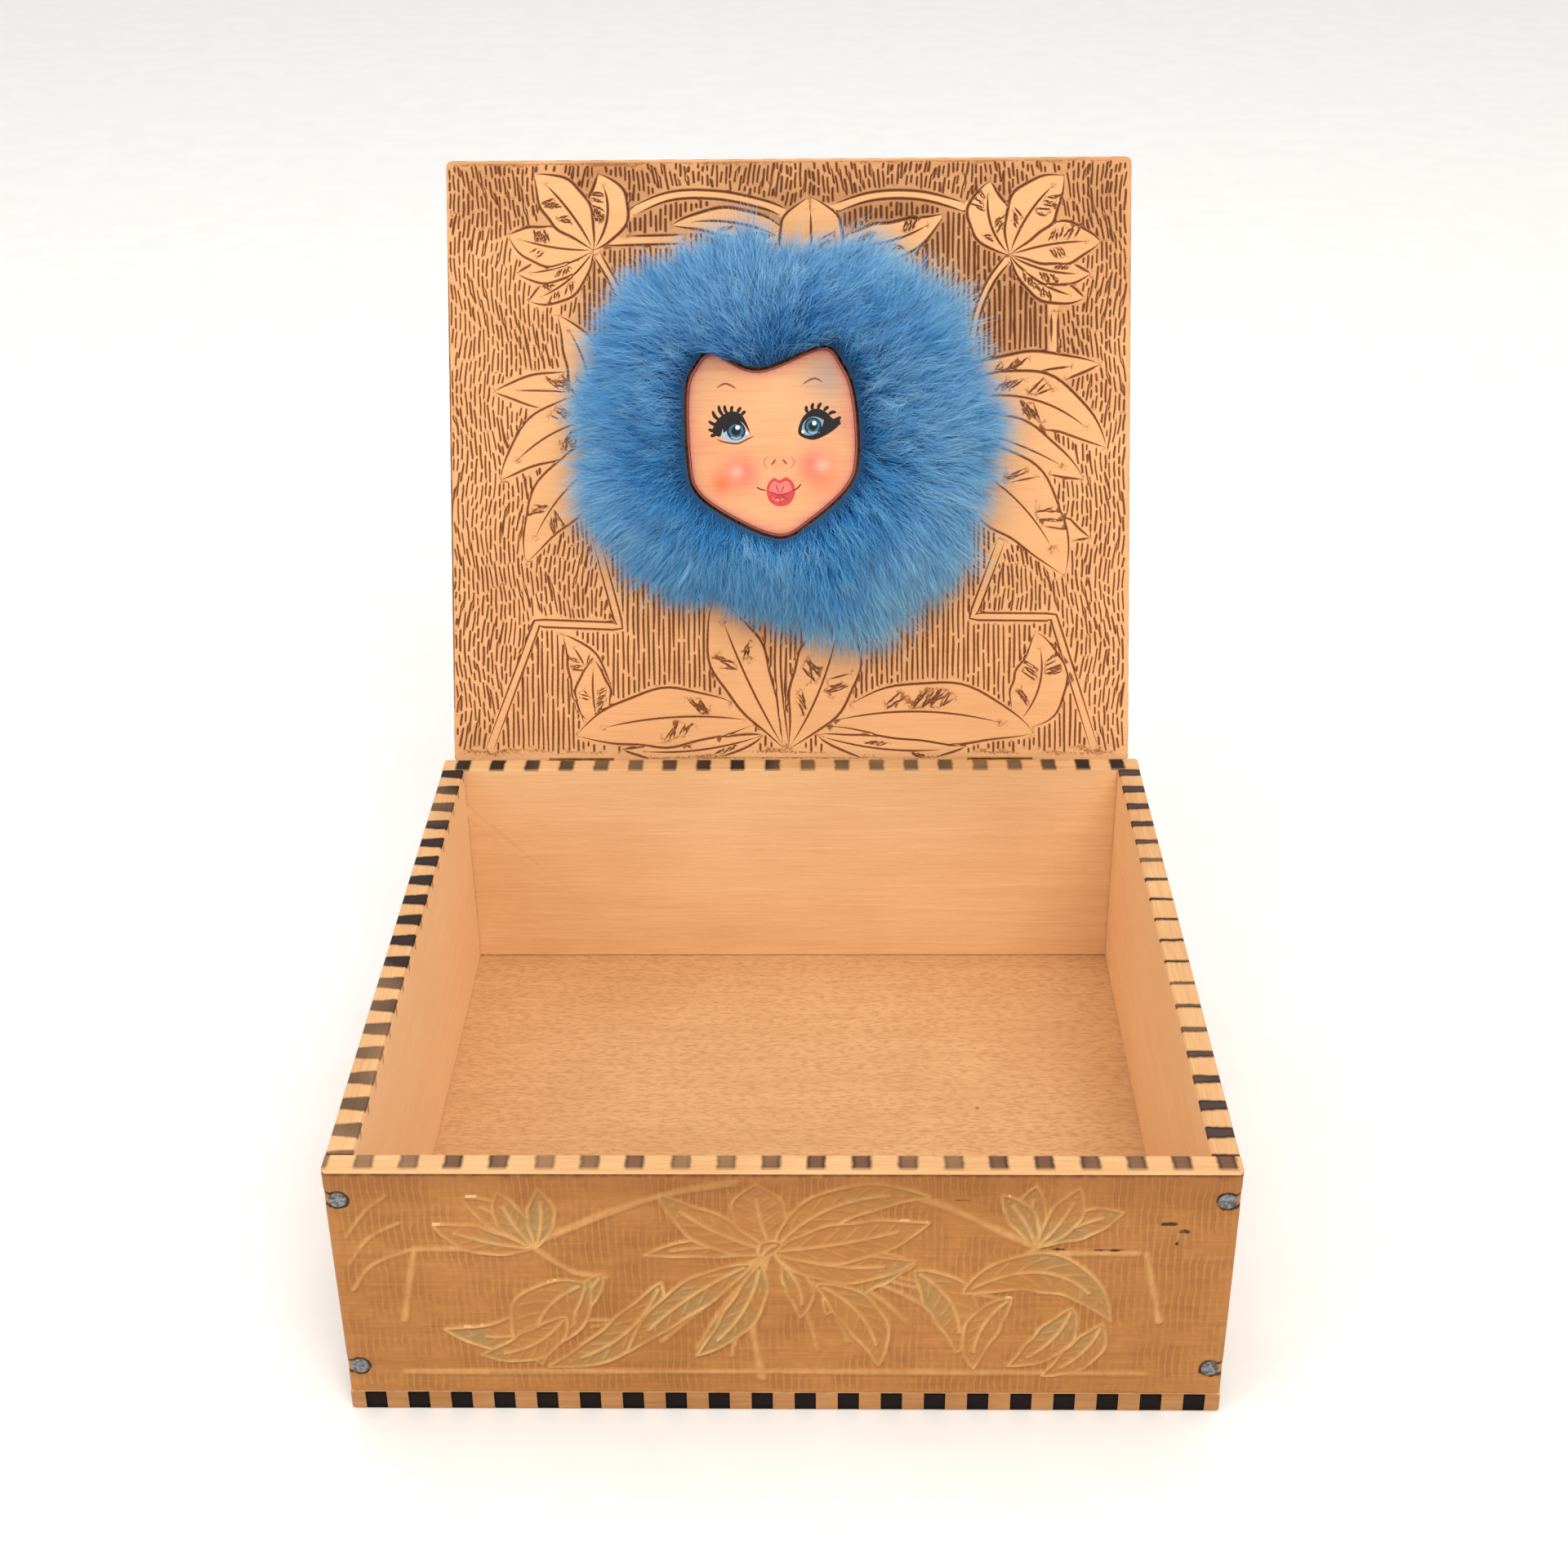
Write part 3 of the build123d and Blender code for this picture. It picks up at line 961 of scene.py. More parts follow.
def drop_rim(obj: Object, steps: list[Triple]) -> None:
    """Extrudes a sheet's open rim down, a step at a time, and leaves edit mode on with the rim selected.

    Args:
        obj: The sheet, centred on x and y.
        steps: For each step, how far the rim goes down and its size in x and y after it.
    """
    size_x, size_y, _ = np.ptp(points_of(obj), axis=0)
    select_rim(obj)
    for drop, new_x, new_y in steps:
        bpy.ops.mesh.extrude_region_move(TRANSFORM_OT_translate={"value": (0, 0, -drop)})
        if (new_x, new_y) != (size_x, size_y):
            bpy.ops.transform.resize(value=(new_x / size_x, new_y / size_y, 1), center_override=(0, 0, 0))
        size_x, size_y = new_x, new_y


def round_over(
    radius: float, width: float, height: float, steps: int = 3, radius_y: float | None = None
) -> list:
    """Works out the steps that carry a sheet's rim round a quarter circle.

    Args:
        radius: The circle's radius across x, and down.
        width: The board's full size in x.
        height: The board's full size in y.
        steps: How many steps it takes.
        radius_y: The radius across y, where it isn't the same.

    Returns:
        The steps for drop_rim.
    """
    radius_y = radius if radius_y is None else radius_y
    out, last = [], 0.0
    for k in range(1, steps + 1):
        turn = pi / 2 * k / steps
        depth = radius * (1 - cos(turn))
        inset = 1 - sin(turn)
        out.append((depth - last, width - 2 * radius * inset, height - 2 * radius_y * inset))
        last = depth
    return out


def joined(numbers: Array, closed: bool = False) -> Array:
    """Returns the edges that join numbered points in order, and the last to the first if closed."""
    return np.stack([numbers, np.roll(numbers, -1)], axis=1)[:None if closed else -1]


def cut_flat(corners: list[Array], edges: list[Array]) -> tuple:
    """Fills a flat shape with triangles that keep to its edges.

    Args:
        corners: Its points, in groups.
        edges: Its edges, as pairs of point numbers, in groups.

    Returns:
        The triangles' points in millimetres with a height of 0, their faces, and each point's own sources.
    """
    flat = [Vector(p) for p in np.vstack(corners)]
    cut = delaunay_2d_cdt(flat, [tuple(e) for e in np.vstack(edges).tolist()], [], 1, 0.0001)
    return np.array([(p.x, p.y, 0.0) for p in cut[0]]), cut[2], cut[3]


def grooved_sheet(name: str, outline: Array, strokes: list[Stroke], drawing: Drawing, depth: float) -> Object:
    """Makes a flat sheet with a V-shaped groove along each stroke.

    Args:
        name: The sheet's name.
        outline: Its closed outline.
        strokes: The strokes, which may cross.
        drawing: The drawing that they are part of.
        depth: The grooves' depth.

    Returns:
        The sheet, with a "burn" and a "ground" value at each point.
    """
    first = len(outline)
    corners, edges, burn = [outline], [joined(np.arange(first), True)], [np.zeros(first)]
    for s in strokes:
        left, right = s.sides()
        n, m = len(s.line), len(left)
        corners += [s.line, left, right]
        middle = np.full(n, 0.62 + 0.38 * s.heat)
        middle[[0, -1]] = 0.2
        burn += [middle, np.zeros(m), np.zeros(m)]
        spine = np.arange(n) + first
        for side in (np.arange(m) + first + n, np.arange(m) + first + n + m):
            edges.append(joined(np.concatenate([spine[:1], side, spine[-1:]])))
        edges.append(joined(spine))
        first += n + 2 * m
    points, faces, sources = cut_flat(corners, edges)
    values = np.concatenate(burn)
    heat = np.array([values[list(source)].max() if source else 0.6 for source in sources])
    points[:, 2] = -depth * heat
    obj = from_points(name, points, faces)
    set_values(obj, "burn", heat)
    set_values(obj, "ground", drawing.ground(points[:, :2]))
    return obj


def settle(obj: Object, body: str, slot: str, *nodes: str) -> Object:
    """Hands a finished piece to the frame.

    Args:
        obj: The piece.
        body: The body that it rides on.
        slot: The record's material slot; not used.
        nodes: The CAD nodes that it stands for.

    Returns:
        The piece.
    """
    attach(obj, body)
    if nodes:
        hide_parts(*nodes)
    LOG.info("%s: %d faces, on %s", obj.name, len(obj.data.polygons), body)
    return obj


# ---------------------------------------------------------------- the walls and the floor


def garland() -> list[Leaf | Band]:
    """The die's pattern on the front: a flower in the middle, stems to both sides, and leaves below."""
    heart = (-2.0, 44.0)
    shapes: list[Leaf | Band] = [
        Band([(-88, 6.5), (0, 6.8), (84, 6.6)], 1.0), Band([(-87, 23), (-83, 44)], 0.9),
        Band([(86, 23), (82, 43)], 0.9), Band([(-83, 44.3), (-60, 44.6)], 1.0),
        Band([(57, 43.6), (80, 43.5)], 1.0), Band([(-56, 46), (-38, 55.5), (-24, 61.0), (-10, 64)], 1.3),
        Band([(57, 45.5), (47, 51), (36, 57.5), (24, 62)], 1.3), Band([(-56, 45), (-48, 38), (-40, 36)], 0.9),
        Band([(57, 45), (50, 38), (43, 34)], 0.9), Band([(-4, 40), (-7, 24), (-5, 5)], 1.3),
    ]
    corners = {
        (-55.5, 44.7): ((-78, 51.5), (-71, 59.5), (-63, 61), (-54, 62)),
        (57, 45.3): ((76, 55.5), (66, 62.5), (56.5, 63.3), (49, 60.5)),
    }
    for foot, tips in corners.items():
        for k, tip in enumerate(tips):
            shapes.append(Leaf(foot, tip, 8.0 - 0.5 * k, 0.06 * (-1)**k, belly=0.55))
    for k in range(7):
        shapes.append(Band([heart, (-8 - 4.5 * k, 30 - k), (-12 - 8 * k, 12 + 2.2 * k)], 0.5))
        shapes.append(Band([heart, (4 + 5 * k, 31 + 0.5 * k), (8 + 7 * k, 14 + 2.6 * k)], 0.5))
    for k in range(3):
        shapes.append(Band([(-88 + 2 * k, 60 - 8 * k), (-93, 55.5 - 8 * k), (-98, 48 - 8 * k)], 0.2))
    shapes += [
        Leaf((-41, 37), (-62, 27), 8, 0.2), Leaf((-44, 35), (-78, 20), 13, 0.24),
        Leaf((-45, 34), (-56, 9), 15, -0.2), Leaf((-50, 24), (-70, 12), 9, 0.15),
        Leaf((-27.7, 34.4), (-54.8, 8.3), 10, 0.14), Leaf((-7, 40), (-36, 13), 9, -0.06),
        Leaf((-5, 40), (-20, 12), 8, 0.1), Leaf((30, 40), (10, 25), 11, -0.2),
        Leaf((30, 38), (40, 13), 12, 0.16), Leaf((8, 34), (22, 9), 10, 0.14),
        Leaf((41, 31.5), (75, 23), 12, 0.3), Leaf((52, 30), (44, 8), 8, -0.12),
        Leaf((66, 27), (52, 9), 9, 0.12), Leaf((73, 22), (60, 6), 8, 0.12), Leaf((0, 40), (4, 24), 6.5, 0.12),
        Leaf(heart, (-31, 42.6), 6, -0.06), Leaf(heart, (30, 41), 10, -0.1),
        Leaf(heart, (-27, 60.5), 10, 0.08), Leaf(heart, (33, 60.0), 10, 0.16),
        Leaf(heart, (33, 52.5), 12, -0.04), Leaf(heart, (-5.5, 63.5), 13, 0.05, belly=0.6),
        Leaf((-4.5, 42), (0.5, 46), 4.4, 0.2),
    ]
    return shapes


@dataclass
class WallBoard:
    """One wall of the box: pressed outside, plain inside, checkered along its top edge.

    Attributes:
        name: The piece's name.
        node: The CAD node that it stands for.
        panel: Its outer face, from the middle of its lower edge.
        width: Its length.
        height: Its height.
        thickness: The board's thickness.
        corner: The radius of its upright outer edges.
        stretch: The length of the pattern, as a share of the front's.
        seats: CAD hinge leaves that are let into it.
        mirrored: Whether the pattern runs the other way.
        nails: Places of nails on its outer face.
        scuffs: Black scuffs on its outer face, each as its centre and its two radii.
        inner: The finish of its inside.
        edge: The finish of its top edge.
        pressed: The finish of its outer face.
        fineness: Size of the outer face's grid cells.
    """

    name: str
    node: str
    panel: Panel
    width: float
    height: float
    thickness: float
    corner: float
    stretch: float = 1.0
    mirrored: bool = False
    seats: list[str] = field(default_factory=list)
    nails: list[Point] = field(default_factory=list)
    scuffs: list[tuple[float, float, float, float]] = field(default_factory=list)
    inner: Basswood = Basswood("basswood, planed, grain across")
    edge: CheckedEdge = CheckedEdge("basswood, checkered edge")
    pressed: PressedBasswood = PressedBasswood("basswood, pressed and shellacked")
    fineness: tuple[float, float] = (0.42, 0.45)

    EDGE = 0.45  # rounding of the long edges
    CLEARANCE = 0.1 * MM  # round a hinge leaf in its seat
    BARREL = 1.38 * MM  # radius of the slot for a hinge's barrel

    def relief(self, points: Array) -> tuple[Array, Array, Array, Array]:
        """Works out the pressed pattern.

        Args:
            points: Places on the face, with x from its middle and y from its lower edge.

        Returns:
            At each place, the height, and the ridge, leaf and rib values that colour it.
        """
        x = points[:, 0] / self.stretch * (-1 if self.mirrored else 1)
        y = points[:, 1]
        flat = np.stack([x, y], axis=1)
        ridge, leaf, dome = np.zeros(len(x)), np.zeros(len(x)), np.zeros(len(x))
        for shape_number, shape in enumerate(garland()):
            outline = shape.outline()
            low, high = outline.min(0) - 2, outline.max(0) + 2
            near = np.flatnonzero(((flat > low) & (flat < high)).all(axis=1))
            edge, spine, share = shape.field(flat[near])
            within = 1 / (1 + np.exp(np.clip(edge / 0.12, -40, 40)))
            rim = np.exp(-(edge / 0.4)**2) * (0.75 + 0.25 * np.sin(share * 11 + shape_number))
            if isinstance(shape, Leaf):
                vein = 0.8 * np.exp(-(spine / 0.44)**2) * (share > 0.04) * (share < 0.8)
                side_veins = np.clip(np.cos((share * 7 - spine / shape.width * 3) * 2 * pi) * 1.8 - 1.2, 0, 1)
                inner = np.maximum(vein, 0.5 * side_veins * (edge < -1.2))
                swell = 1 - np.exp(np.clip(edge, -9, 0) / 1.2)
                leaf[near] = leaf[near] * (1 - within) + within
            else:
                inner, swell = np.full(len(near), 0.6), np.full(len(near), 0.5)
                leaf[near] = leaf[near] * (1 - within)
                rim *= 0.55
            ridge[near] = np.maximum(ridge[near] * (1 - within) + inner * within, rim)
            dome[near] = dome[near] * (1 - within) + swell * within
        fade = np.clip((self.width / 2 - np.abs(points[:, 0]) - 0.4) / 2.5, 0, 1)
        fade = fade * np.clip(y / 1.5, 0, 1) * np.clip((self.height - y) / 1.5, 0, 1)
        bare = np.clip(1 - leaf - ridge, 0, 1)
        height = (0.36 * ridge - 0.06 * dome - 0.1 * bare) * fade
        return height, ridge * fade, leaf * fade, bare * fade

    def build(self) -> Object:
        """Models the board and returns it, in place."""
        face_x, face_y = self.width - 2 * self.corner, self.height - 2 * self.EDGE
        obj = named(
            added(
                bpy.ops.mesh.primitive_grid_add, x_subdivisions=round(face_x / self.fineness[0]),
                y_subdivisions=round(face_y / self.fineness[1]), size=1,
            ),
            self.name,
        )
        points = points_of(obj) * (face_x, face_y, 1)
        flat = np.stack([points[:, 0], points[:, 1] + self.height / 2], axis=1)
        height, ridge, leaf, rib = self.relief(flat)
        scuff = np.zeros(len(flat))
        for place in self.nails:
            away = np.hypot(*(flat - np.array(place)).T)
            sunk = 1 / (1 + np.exp(np.clip((away - 2.5) / 0.18, -40, 40)))
            height = height * (1 - sunk) - 0.45 * sunk
            rib = rib * (1 - sunk)
            scuff = np.maximum(scuff, 0.8 * np.exp(-((away - 2.35) / 0.55)**2))
        for x, y, wide, high in self.scuffs:
            away = np.hypot((flat[:, 0] - x) / wide, (flat[:, 1] - y) / high)
            scuff = np.maximum(scuff, 0.75 * np.exp(-away**4))
        points[:, 2] = height - 0.12 * scuff
        move_points(obj, points)
        # painted shadow: the ridges moved down and to the right, where each raised line casts its shade
        shade = self.relief(flat + (-0.25, 0.6))[1] * (1 - ridge)
        labelled = {"ridge": ridge, "shade": shade, "leaf": leaf, "rib": rib, "scuff": scuff}
        for label, values in labelled.items():
            set_values(obj, label, values)
        corner = round_over(self.corner, self.width, self.height, 4, self.EDGE)
        straight = self.thickness - self.corner - self.EDGE
        back = [
            (self.EDGE * share, self.width - less, self.height - less)
            for share, less in ((0.3, 0.26), (0.7, 0.9))
        ]
        drop_rim(obj, corner + [(straight, self.width, self.height)] + back)
        bpy.ops.mesh.edge_face_add()
        bpy.ops.mesh.select_all(action="SELECT")
        bpy.ops.mesh.normals_make_consistent(inside=False)
        bpy.ops.object.mode_set(mode="OBJECT")
        move_points(obj, points_of(obj) + (0, self.height / 2, 0))
        self.dress(obj)
        self.panel.place(obj)
        if self.seats:
            self.let_in_hinges(obj)
        only(obj)
        bpy.ops.object.shade_smooth_by_angle(angle=radians(40))
        return obj

    def dress(self, obj: Object) -> None:
        """Gives the outer face, the inside and the top edge their own finishes."""
        coat(obj, self.pressed, self.inner, self.edge)
        for face in obj.data.polygons:
            if face.normal.y > 0.6:
                face.material_index = 2
            elif face.normal.z < 0.3 and abs(face.normal.x) < 0.6:
                face.material_index = 1

    def let_in_hinges(self, obj: Object) -> None:
        """Cuts a seat for each hinge leaf and a slot for its barrel, open to the rim."""
        axis = Vector(frame["joints"][0]["pos_m"])
        for leaf in self.seats:
            low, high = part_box(leaf)
            middle, size = (low + high) / 2, high - low
            seat = added(
                bpy.ops.mesh.primitive_cube_add, size=1, location=middle,
                scale=size + Vector((1, 1, 1)) * self.CLEARANCE,
            )
            length, radius = size.x + 1.0 * MM, self.BARREL
            groove = added(
                bpy.ops.mesh.primitive_cylinder_add, vertices=32, radius=radius, depth=length,
                location=(middle.x, axis.y, axis.z), rotation=(0, pi / 2, 0),
            )
            slot = added(
                bpy.ops.mesh.primitive_cube_add, size=1, location=(middle.x, axis.y, axis.z + 2 * MM),
                scale=(length, 2 * radius, 4 * MM),
            )
            for cutter in (seat, groove, slot):
                modify(obj, "BOOLEAN", operation="DIFFERENCE", object=cutter, solver="EXACT")
                bpy.data.objects.remove(cutter)


@dataclass
class BottomBoard:
    """The floor of the box: planed inside, with square notches burned round its edge.

    Attributes:
        low: Its lowest corner in the frame, in metres.
        high: Its highest corner in the frame, in metres.
        notch: Length of a notch.
        pitch: Distance from notch to notch.
        depth: Depth of a notch.
        planed: The finish of its flat faces.
        charred: The finish of the notches.
        edging: The finish of its edge.
    """

    low: Vector
    high: Vector
    notch: float = 5.0
    pitch: float = 10.1
    depth: float = 0.35
    planed: Basswood = Basswood(
        "basswood, planer marks", chatter=0.6, light="#ddb07d", dark="#cc9c68",
        spots=(
            (-0.0005, -0.0475, 0.0055, 0.001), (0.0125, -0.0515, 0.0055, 0.0012),
            (-0.0035, -0.0655, 0.0055, 0.0009), (0.0205, -0.018, 0.0055, 0.0007),
            (-0.048, -0.03, 0.0055, 0.0006), (0.052, 0.012, 0.0055, 0.0006),
        ),
    )
    charred: Basswood = Basswood("basswood, charred", light="#1a0d09", dark="#0b0605", roughness=0.9)
    edging: Basswood = Basswood("basswood, edge", light="#c08a56", dark="#9a6636")

    def build(self) -> Object:
        """Models the board and returns it, in place."""
        size = self.high - self.low
        obj = named(
            added(bpy.ops.mesh.primitive_cube_add, size=1, location=(self.low + self.high) / 2, scale=size),
            "floor_board",
        )
        bpy.ops.object.transform_apply(location=True, rotation=False, scale=True)
        modify(obj, "BEVEL", width=0.5 * MM, segments=2)
        bpy.ops.object.mode_set(mode="EDIT")
        for axis in (0, 1):
            count, start = self.row(axis)
            for k in range(count):
                for place in (start + k * self.pitch * MM, start + (k * self.pitch + self.notch) * MM):
                    bpy.ops.mesh.select_all(action="SELECT")
                    spot, way = [0.0] * 3, [0.0] * 3
                    spot[axis], way[axis] = place, 1.0
                    bpy.ops.mesh.bisect(plane_co=spot, plane_no=way)
        bpy.ops.object.mode_set(mode="OBJECT")
        self.burn_notches(obj)
        coat(obj, self.planed, self.edging, self.charred)
        return obj

    def row(self, axis: int) -> tuple[int, float]:
        """Returns how many notches there are along an axis, and where the first begins in the frame."""
        count = int((self.high - self.low)[axis] / MM / self.pitch)
        return count, (self.low[axis] + self.high[axis]) / 2 - (count * self.pitch - self.notch) / 2 * MM

    def burn_notches(self, obj: Object) -> None:
        """Presses in every notch round the edge and gives each face its finish."""
        chosen = []
        for face in obj.data.polygons:
            axis = 0 if abs(face.normal.y) > 0.9 else 1 if abs(face.normal.x) > 0.9 else None
            if axis is None:
                continue
            face.material_index = 1
            count, start = self.row(axis)
            steps = (face.center[axis] - start) / (self.pitch * MM)
            spans = [obj.data.vertices[v].co[axis] for v in face.vertices]
            narrow = max(spans) - min(spans) < (self.notch + 0.2) * MM
            if narrow and 0 <= steps < count and (abs(steps % 1 - self.notch / 2 / self.pitch) < 0.05):
                chosen.append(face.index)
        only(obj)
        bpy.ops.object.mode_set(mode="EDIT")
        bpy.ops.mesh.select_all(action="DESELECT")
        bpy.ops.object.mode_set(mode="OBJECT")
        for index in chosen:
            obj.data.polygons[index].select = True
            obj.data.polygons[index].material_index = 2
        bpy.ops.object.mode_set(mode="EDIT")
        bpy.ops.mesh.select_mode(type="FACE")
        bpy.ops.mesh.inset(thickness=0.12 * MM, depth=-self.depth * MM, use_individual=True)
        bpy.ops.object.mode_set(mode="OBJECT")


@dataclass
class NailSet:
    """Wire nails driven home, each a little out of true, with hammered heads.

    Attributes:
        name: The piece's name.
        node: The CAD node that it stands for; not used.
        seed: Fixes how each one is turned.
        steel: Their finish.
    """

    name: str
    node: str
    seed: int
    HEAD_RADIUS = 2.05
    HEAD_HEIGHT = 0.7
    SHANK_RADIUS = 0.8
    POINT = 2.0
    steel: MetalWork = MetalWork("wire nail steel, dull", 0.5, bright="#8e9297", tarnish="#5f5c59", spot=0.8)

    def build(self, places: list[Vector], out: Vector, length: float) -> Object:
        """Models one nail and drives a copy at each place.

        Args:
            places: The middle of each head's top.
            out: The direction that the heads face.
            length: A nail's length.

        Returns:
            All of them, as one piece.
        """
        rng = np.random.default_rng(self.seed)
        made = []
        for place in places:
            head = added(
                bpy.ops.mesh.primitive_cylinder_add, vertices=24, radius=self.HEAD_RADIUS,
                depth=self.HEAD_HEIGHT, location=(0, 0, -self.HEAD_HEIGHT / 2),
            )
            modify(head, "BEVEL", width=0.22, segments=2)
            point = added(
                bpy.ops.mesh.primitive_cone_add, vertices=12, radius1=0.12, radius2=self.SHANK_RADIUS,
                depth=self.POINT, location=(0, 0, self.POINT / 2 - length),
            )
            shank = added(
                bpy.ops.mesh.primitive_cylinder_add, vertices=12, radius=self.SHANK_RADIUS,
                depth=length - 2.4, location=(0, 0, -0.4 - (length - 2.4) / 2),
            )
            only(head, point, shank)
            bpy.ops.object.join()
            nail = bpy.context.active_object
            bpy.ops.object.transform_apply(location=True, rotation=True, scale=True)
            points = points_of(nail)
            top = points[:, 2] > -0.3
            angle, tip = rng.uniform(0, 2 * pi), rng.uniform(0.02, 0.06)
            lean = points[:, 0] * cos(angle) + points[:, 1] * sin(angle)
            points[top, 2] += tip * lean[top]
            move_points(nail, points)
            right = out.orthogonal().normalized()
            Panel(place, right, out.cross(right)).place(nail)
            made.append(nail)
        only(*made)
        bpy.ops.object.join()
        obj = named(bpy.context.active_object, self.name)
        bpy.ops.object.shade_smooth_by_angle(angle=radians(35))
        coat(obj, self.steel)
        return obj


@dataclass
class BoxBody:
    """The box below its lid: four walls, the floor, its nails and its half of the hinges."""

    def build(self) -> None:
        """Builds every piece of the box's body."""
        low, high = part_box("front_panel")
        width, height = (high.x - low.x) / MM, (high.z - low.z) / MM
        thickness, base = (high.y - low.y) / MM, low.z
        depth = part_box("left_side")[1].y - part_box("left_side")[0].y
        front, back = low.y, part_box("back_panel")[1].y
        left, right = low.x, high.x
        x, y, z = Vector((1, 0, 0)), Vector((0, 1, 0)), Vector((0, 0, 1))
        top, edge_x, wall = high.z / MM, right / MM, thickness
        plain = Basswood("basswood, planed, grain across")
        near_y, far_y = front / MM + wall, front / MM + 1.7
        front_rim = CheckedEdge(
            "basswood, checkered front rim", start=(-93.0 * MM, 0, 0), across=(0, -1, 0), near=-near_y - 0.5,
            far=-far_y, ink="#341d13", inner="#684532", strength=0.97,
        )
        back_rim = CheckedEdge(
            "basswood, checkered back rim", start=(-96.0 * MM, 0, 0), across=(0, 1, 0), near=back / MM - wall,
            far=back / MM - 0.4, ink="#1c110d", inner="#2b1d18",
        )
        inks = {"grain": Grain.FRONT_TO_BACK, "run": (0, 1, 0), "start": (0, -83.5 * MM, 0), "pitch": 9.1}
        left_rim = CheckedEdge(
            "basswood, checkered left rim", across=(-1, 0, 0), near=edge_x - wall - 1, far=edge_x + 1,
            taper=0.35, mark=5.4, ink="#1a0f0b", inner="#2c1c18", **inks
        )
        right_rim = CheckedEdge(
            "basswood, checkered right rim", across=(1, 0, 0), near=edge_x - wall - 1, far=edge_x + 1,
            taper=0.2, ink="#1a0f0b", inner="#4a3630", wear=0.72, **inks
        )
        # painted light: the left inner wall's light and dark wood are paler than the other walls', for the
        # lamp that falls on it
        streaks = {
            **inks, "mark": 1.7, "light": "#fdd9aa", "dark": "#f6cb98", "ink": "#9a6236", "inner": "#9a6236"
        }
        left_inner_streaked_painted_lighter = CheckedEdge(
            "basswood, planed, streaked under the rim, painted lighter", across=(0, 0, -1), near=-top - 1, far=-top + 3.2,
            taper=0.5, strength=0.95, blur=0.12, **streaks
        )
        right_inner = Basswood(
            "basswood, planed, grain front to back", grain=Grain.FRONT_TO_BACK, light="#f6cb97",
            dark="#ecbe8a",
        )
        pressed_side = PressedBasswood(
            "basswood, pressed and shellacked, side", grain=Grain.FRONT_TO_BACK, run=(0, 1, 0)
        )
        nails = [(s * (width - thickness) / 2, h) for s in (-1, 1) for h in self.nail_heights(base)]
        scuffs = [
            (62.5, 44.6, 3.2, 0.5), (73.5, 44.4, 5.0, 0.55), (86.5, 52.0, 2.6, 0.9), (89.8, 49.8, 1.8, 1.1),
            (40.0, 58.8, 3.6, 0.35), (88.5, 46.3, 0.8, 0.7),
        ]
        span = depth / MM
        walls = [
            WallBoard(
                "front_wall", "front_panel", Panel(Vector((0, front, base)), x, z), width, height, wall, 1.6,
                nails=nails, scuffs=scuffs, inner=plain, edge=front_rim,
            ),
            WallBoard(
                "back_wall", "back_panel", Panel(Vector((0, back, base)), -x, z), width, height, wall, 1.6,
                mirrored=True, nails=nails, inner=plain, edge=back_rim,
                seats=["left_hinge_box_leaf", "right_hinge_box_leaf"],
            ),
            WallBoard(
                "left_wall", "left_side", Panel(Vector((left, 0, base)), -y, z), span, height, wall, 0.3,
                stretch=0.8, inner=left_inner_streaked_painted_lighter, edge=left_rim, pressed=pressed_side, fineness=(0.5, 0.5),
            ),
            WallBoard(
                "right_wall", "right_side", Panel(Vector((right, 0, base)), y, z), span, height, wall, 0.3,
                stretch=0.8, mirrored=True, inner=right_inner, edge=right_rim, pressed=pressed_side,
                fineness=(0.5, 0.5),
            ),
        ]
        for wall_board in walls:
            slot = "embossed_basswood" if wall_board.node == "front_panel" else "basswood"
            settle(wall_board.build(), "box", slot, wall_board.node)
        settle(BottomBoard(*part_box("bottom_board")).build(), "box", "basswood", "bottom_board")
        for name, node, out in (
            ("front_nail_heads", "front_nails", -y), ("back_nail_heads", "back_nails", y)
        ):
            face = front if out.y < 0 else back
            places = [Vector((px * MM, face - out.y * 0.12 * MM, base + h * MM)) for px, h in nails]
            settle(NailSet(name, node, 3).build(places, out, 20.0), "box", "nail_steel", node)

    def nail_heights(self, base: float) -> list[float]:
        """Returns the heights of the wall nails over the walls' lower edge."""
        low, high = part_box("front_nails")
        radius = 2.1 * MM
        return [(low.z + radius - base) / MM, (high.z - radius - base) / MM]


# ---------------------------------------------------------------- the lid


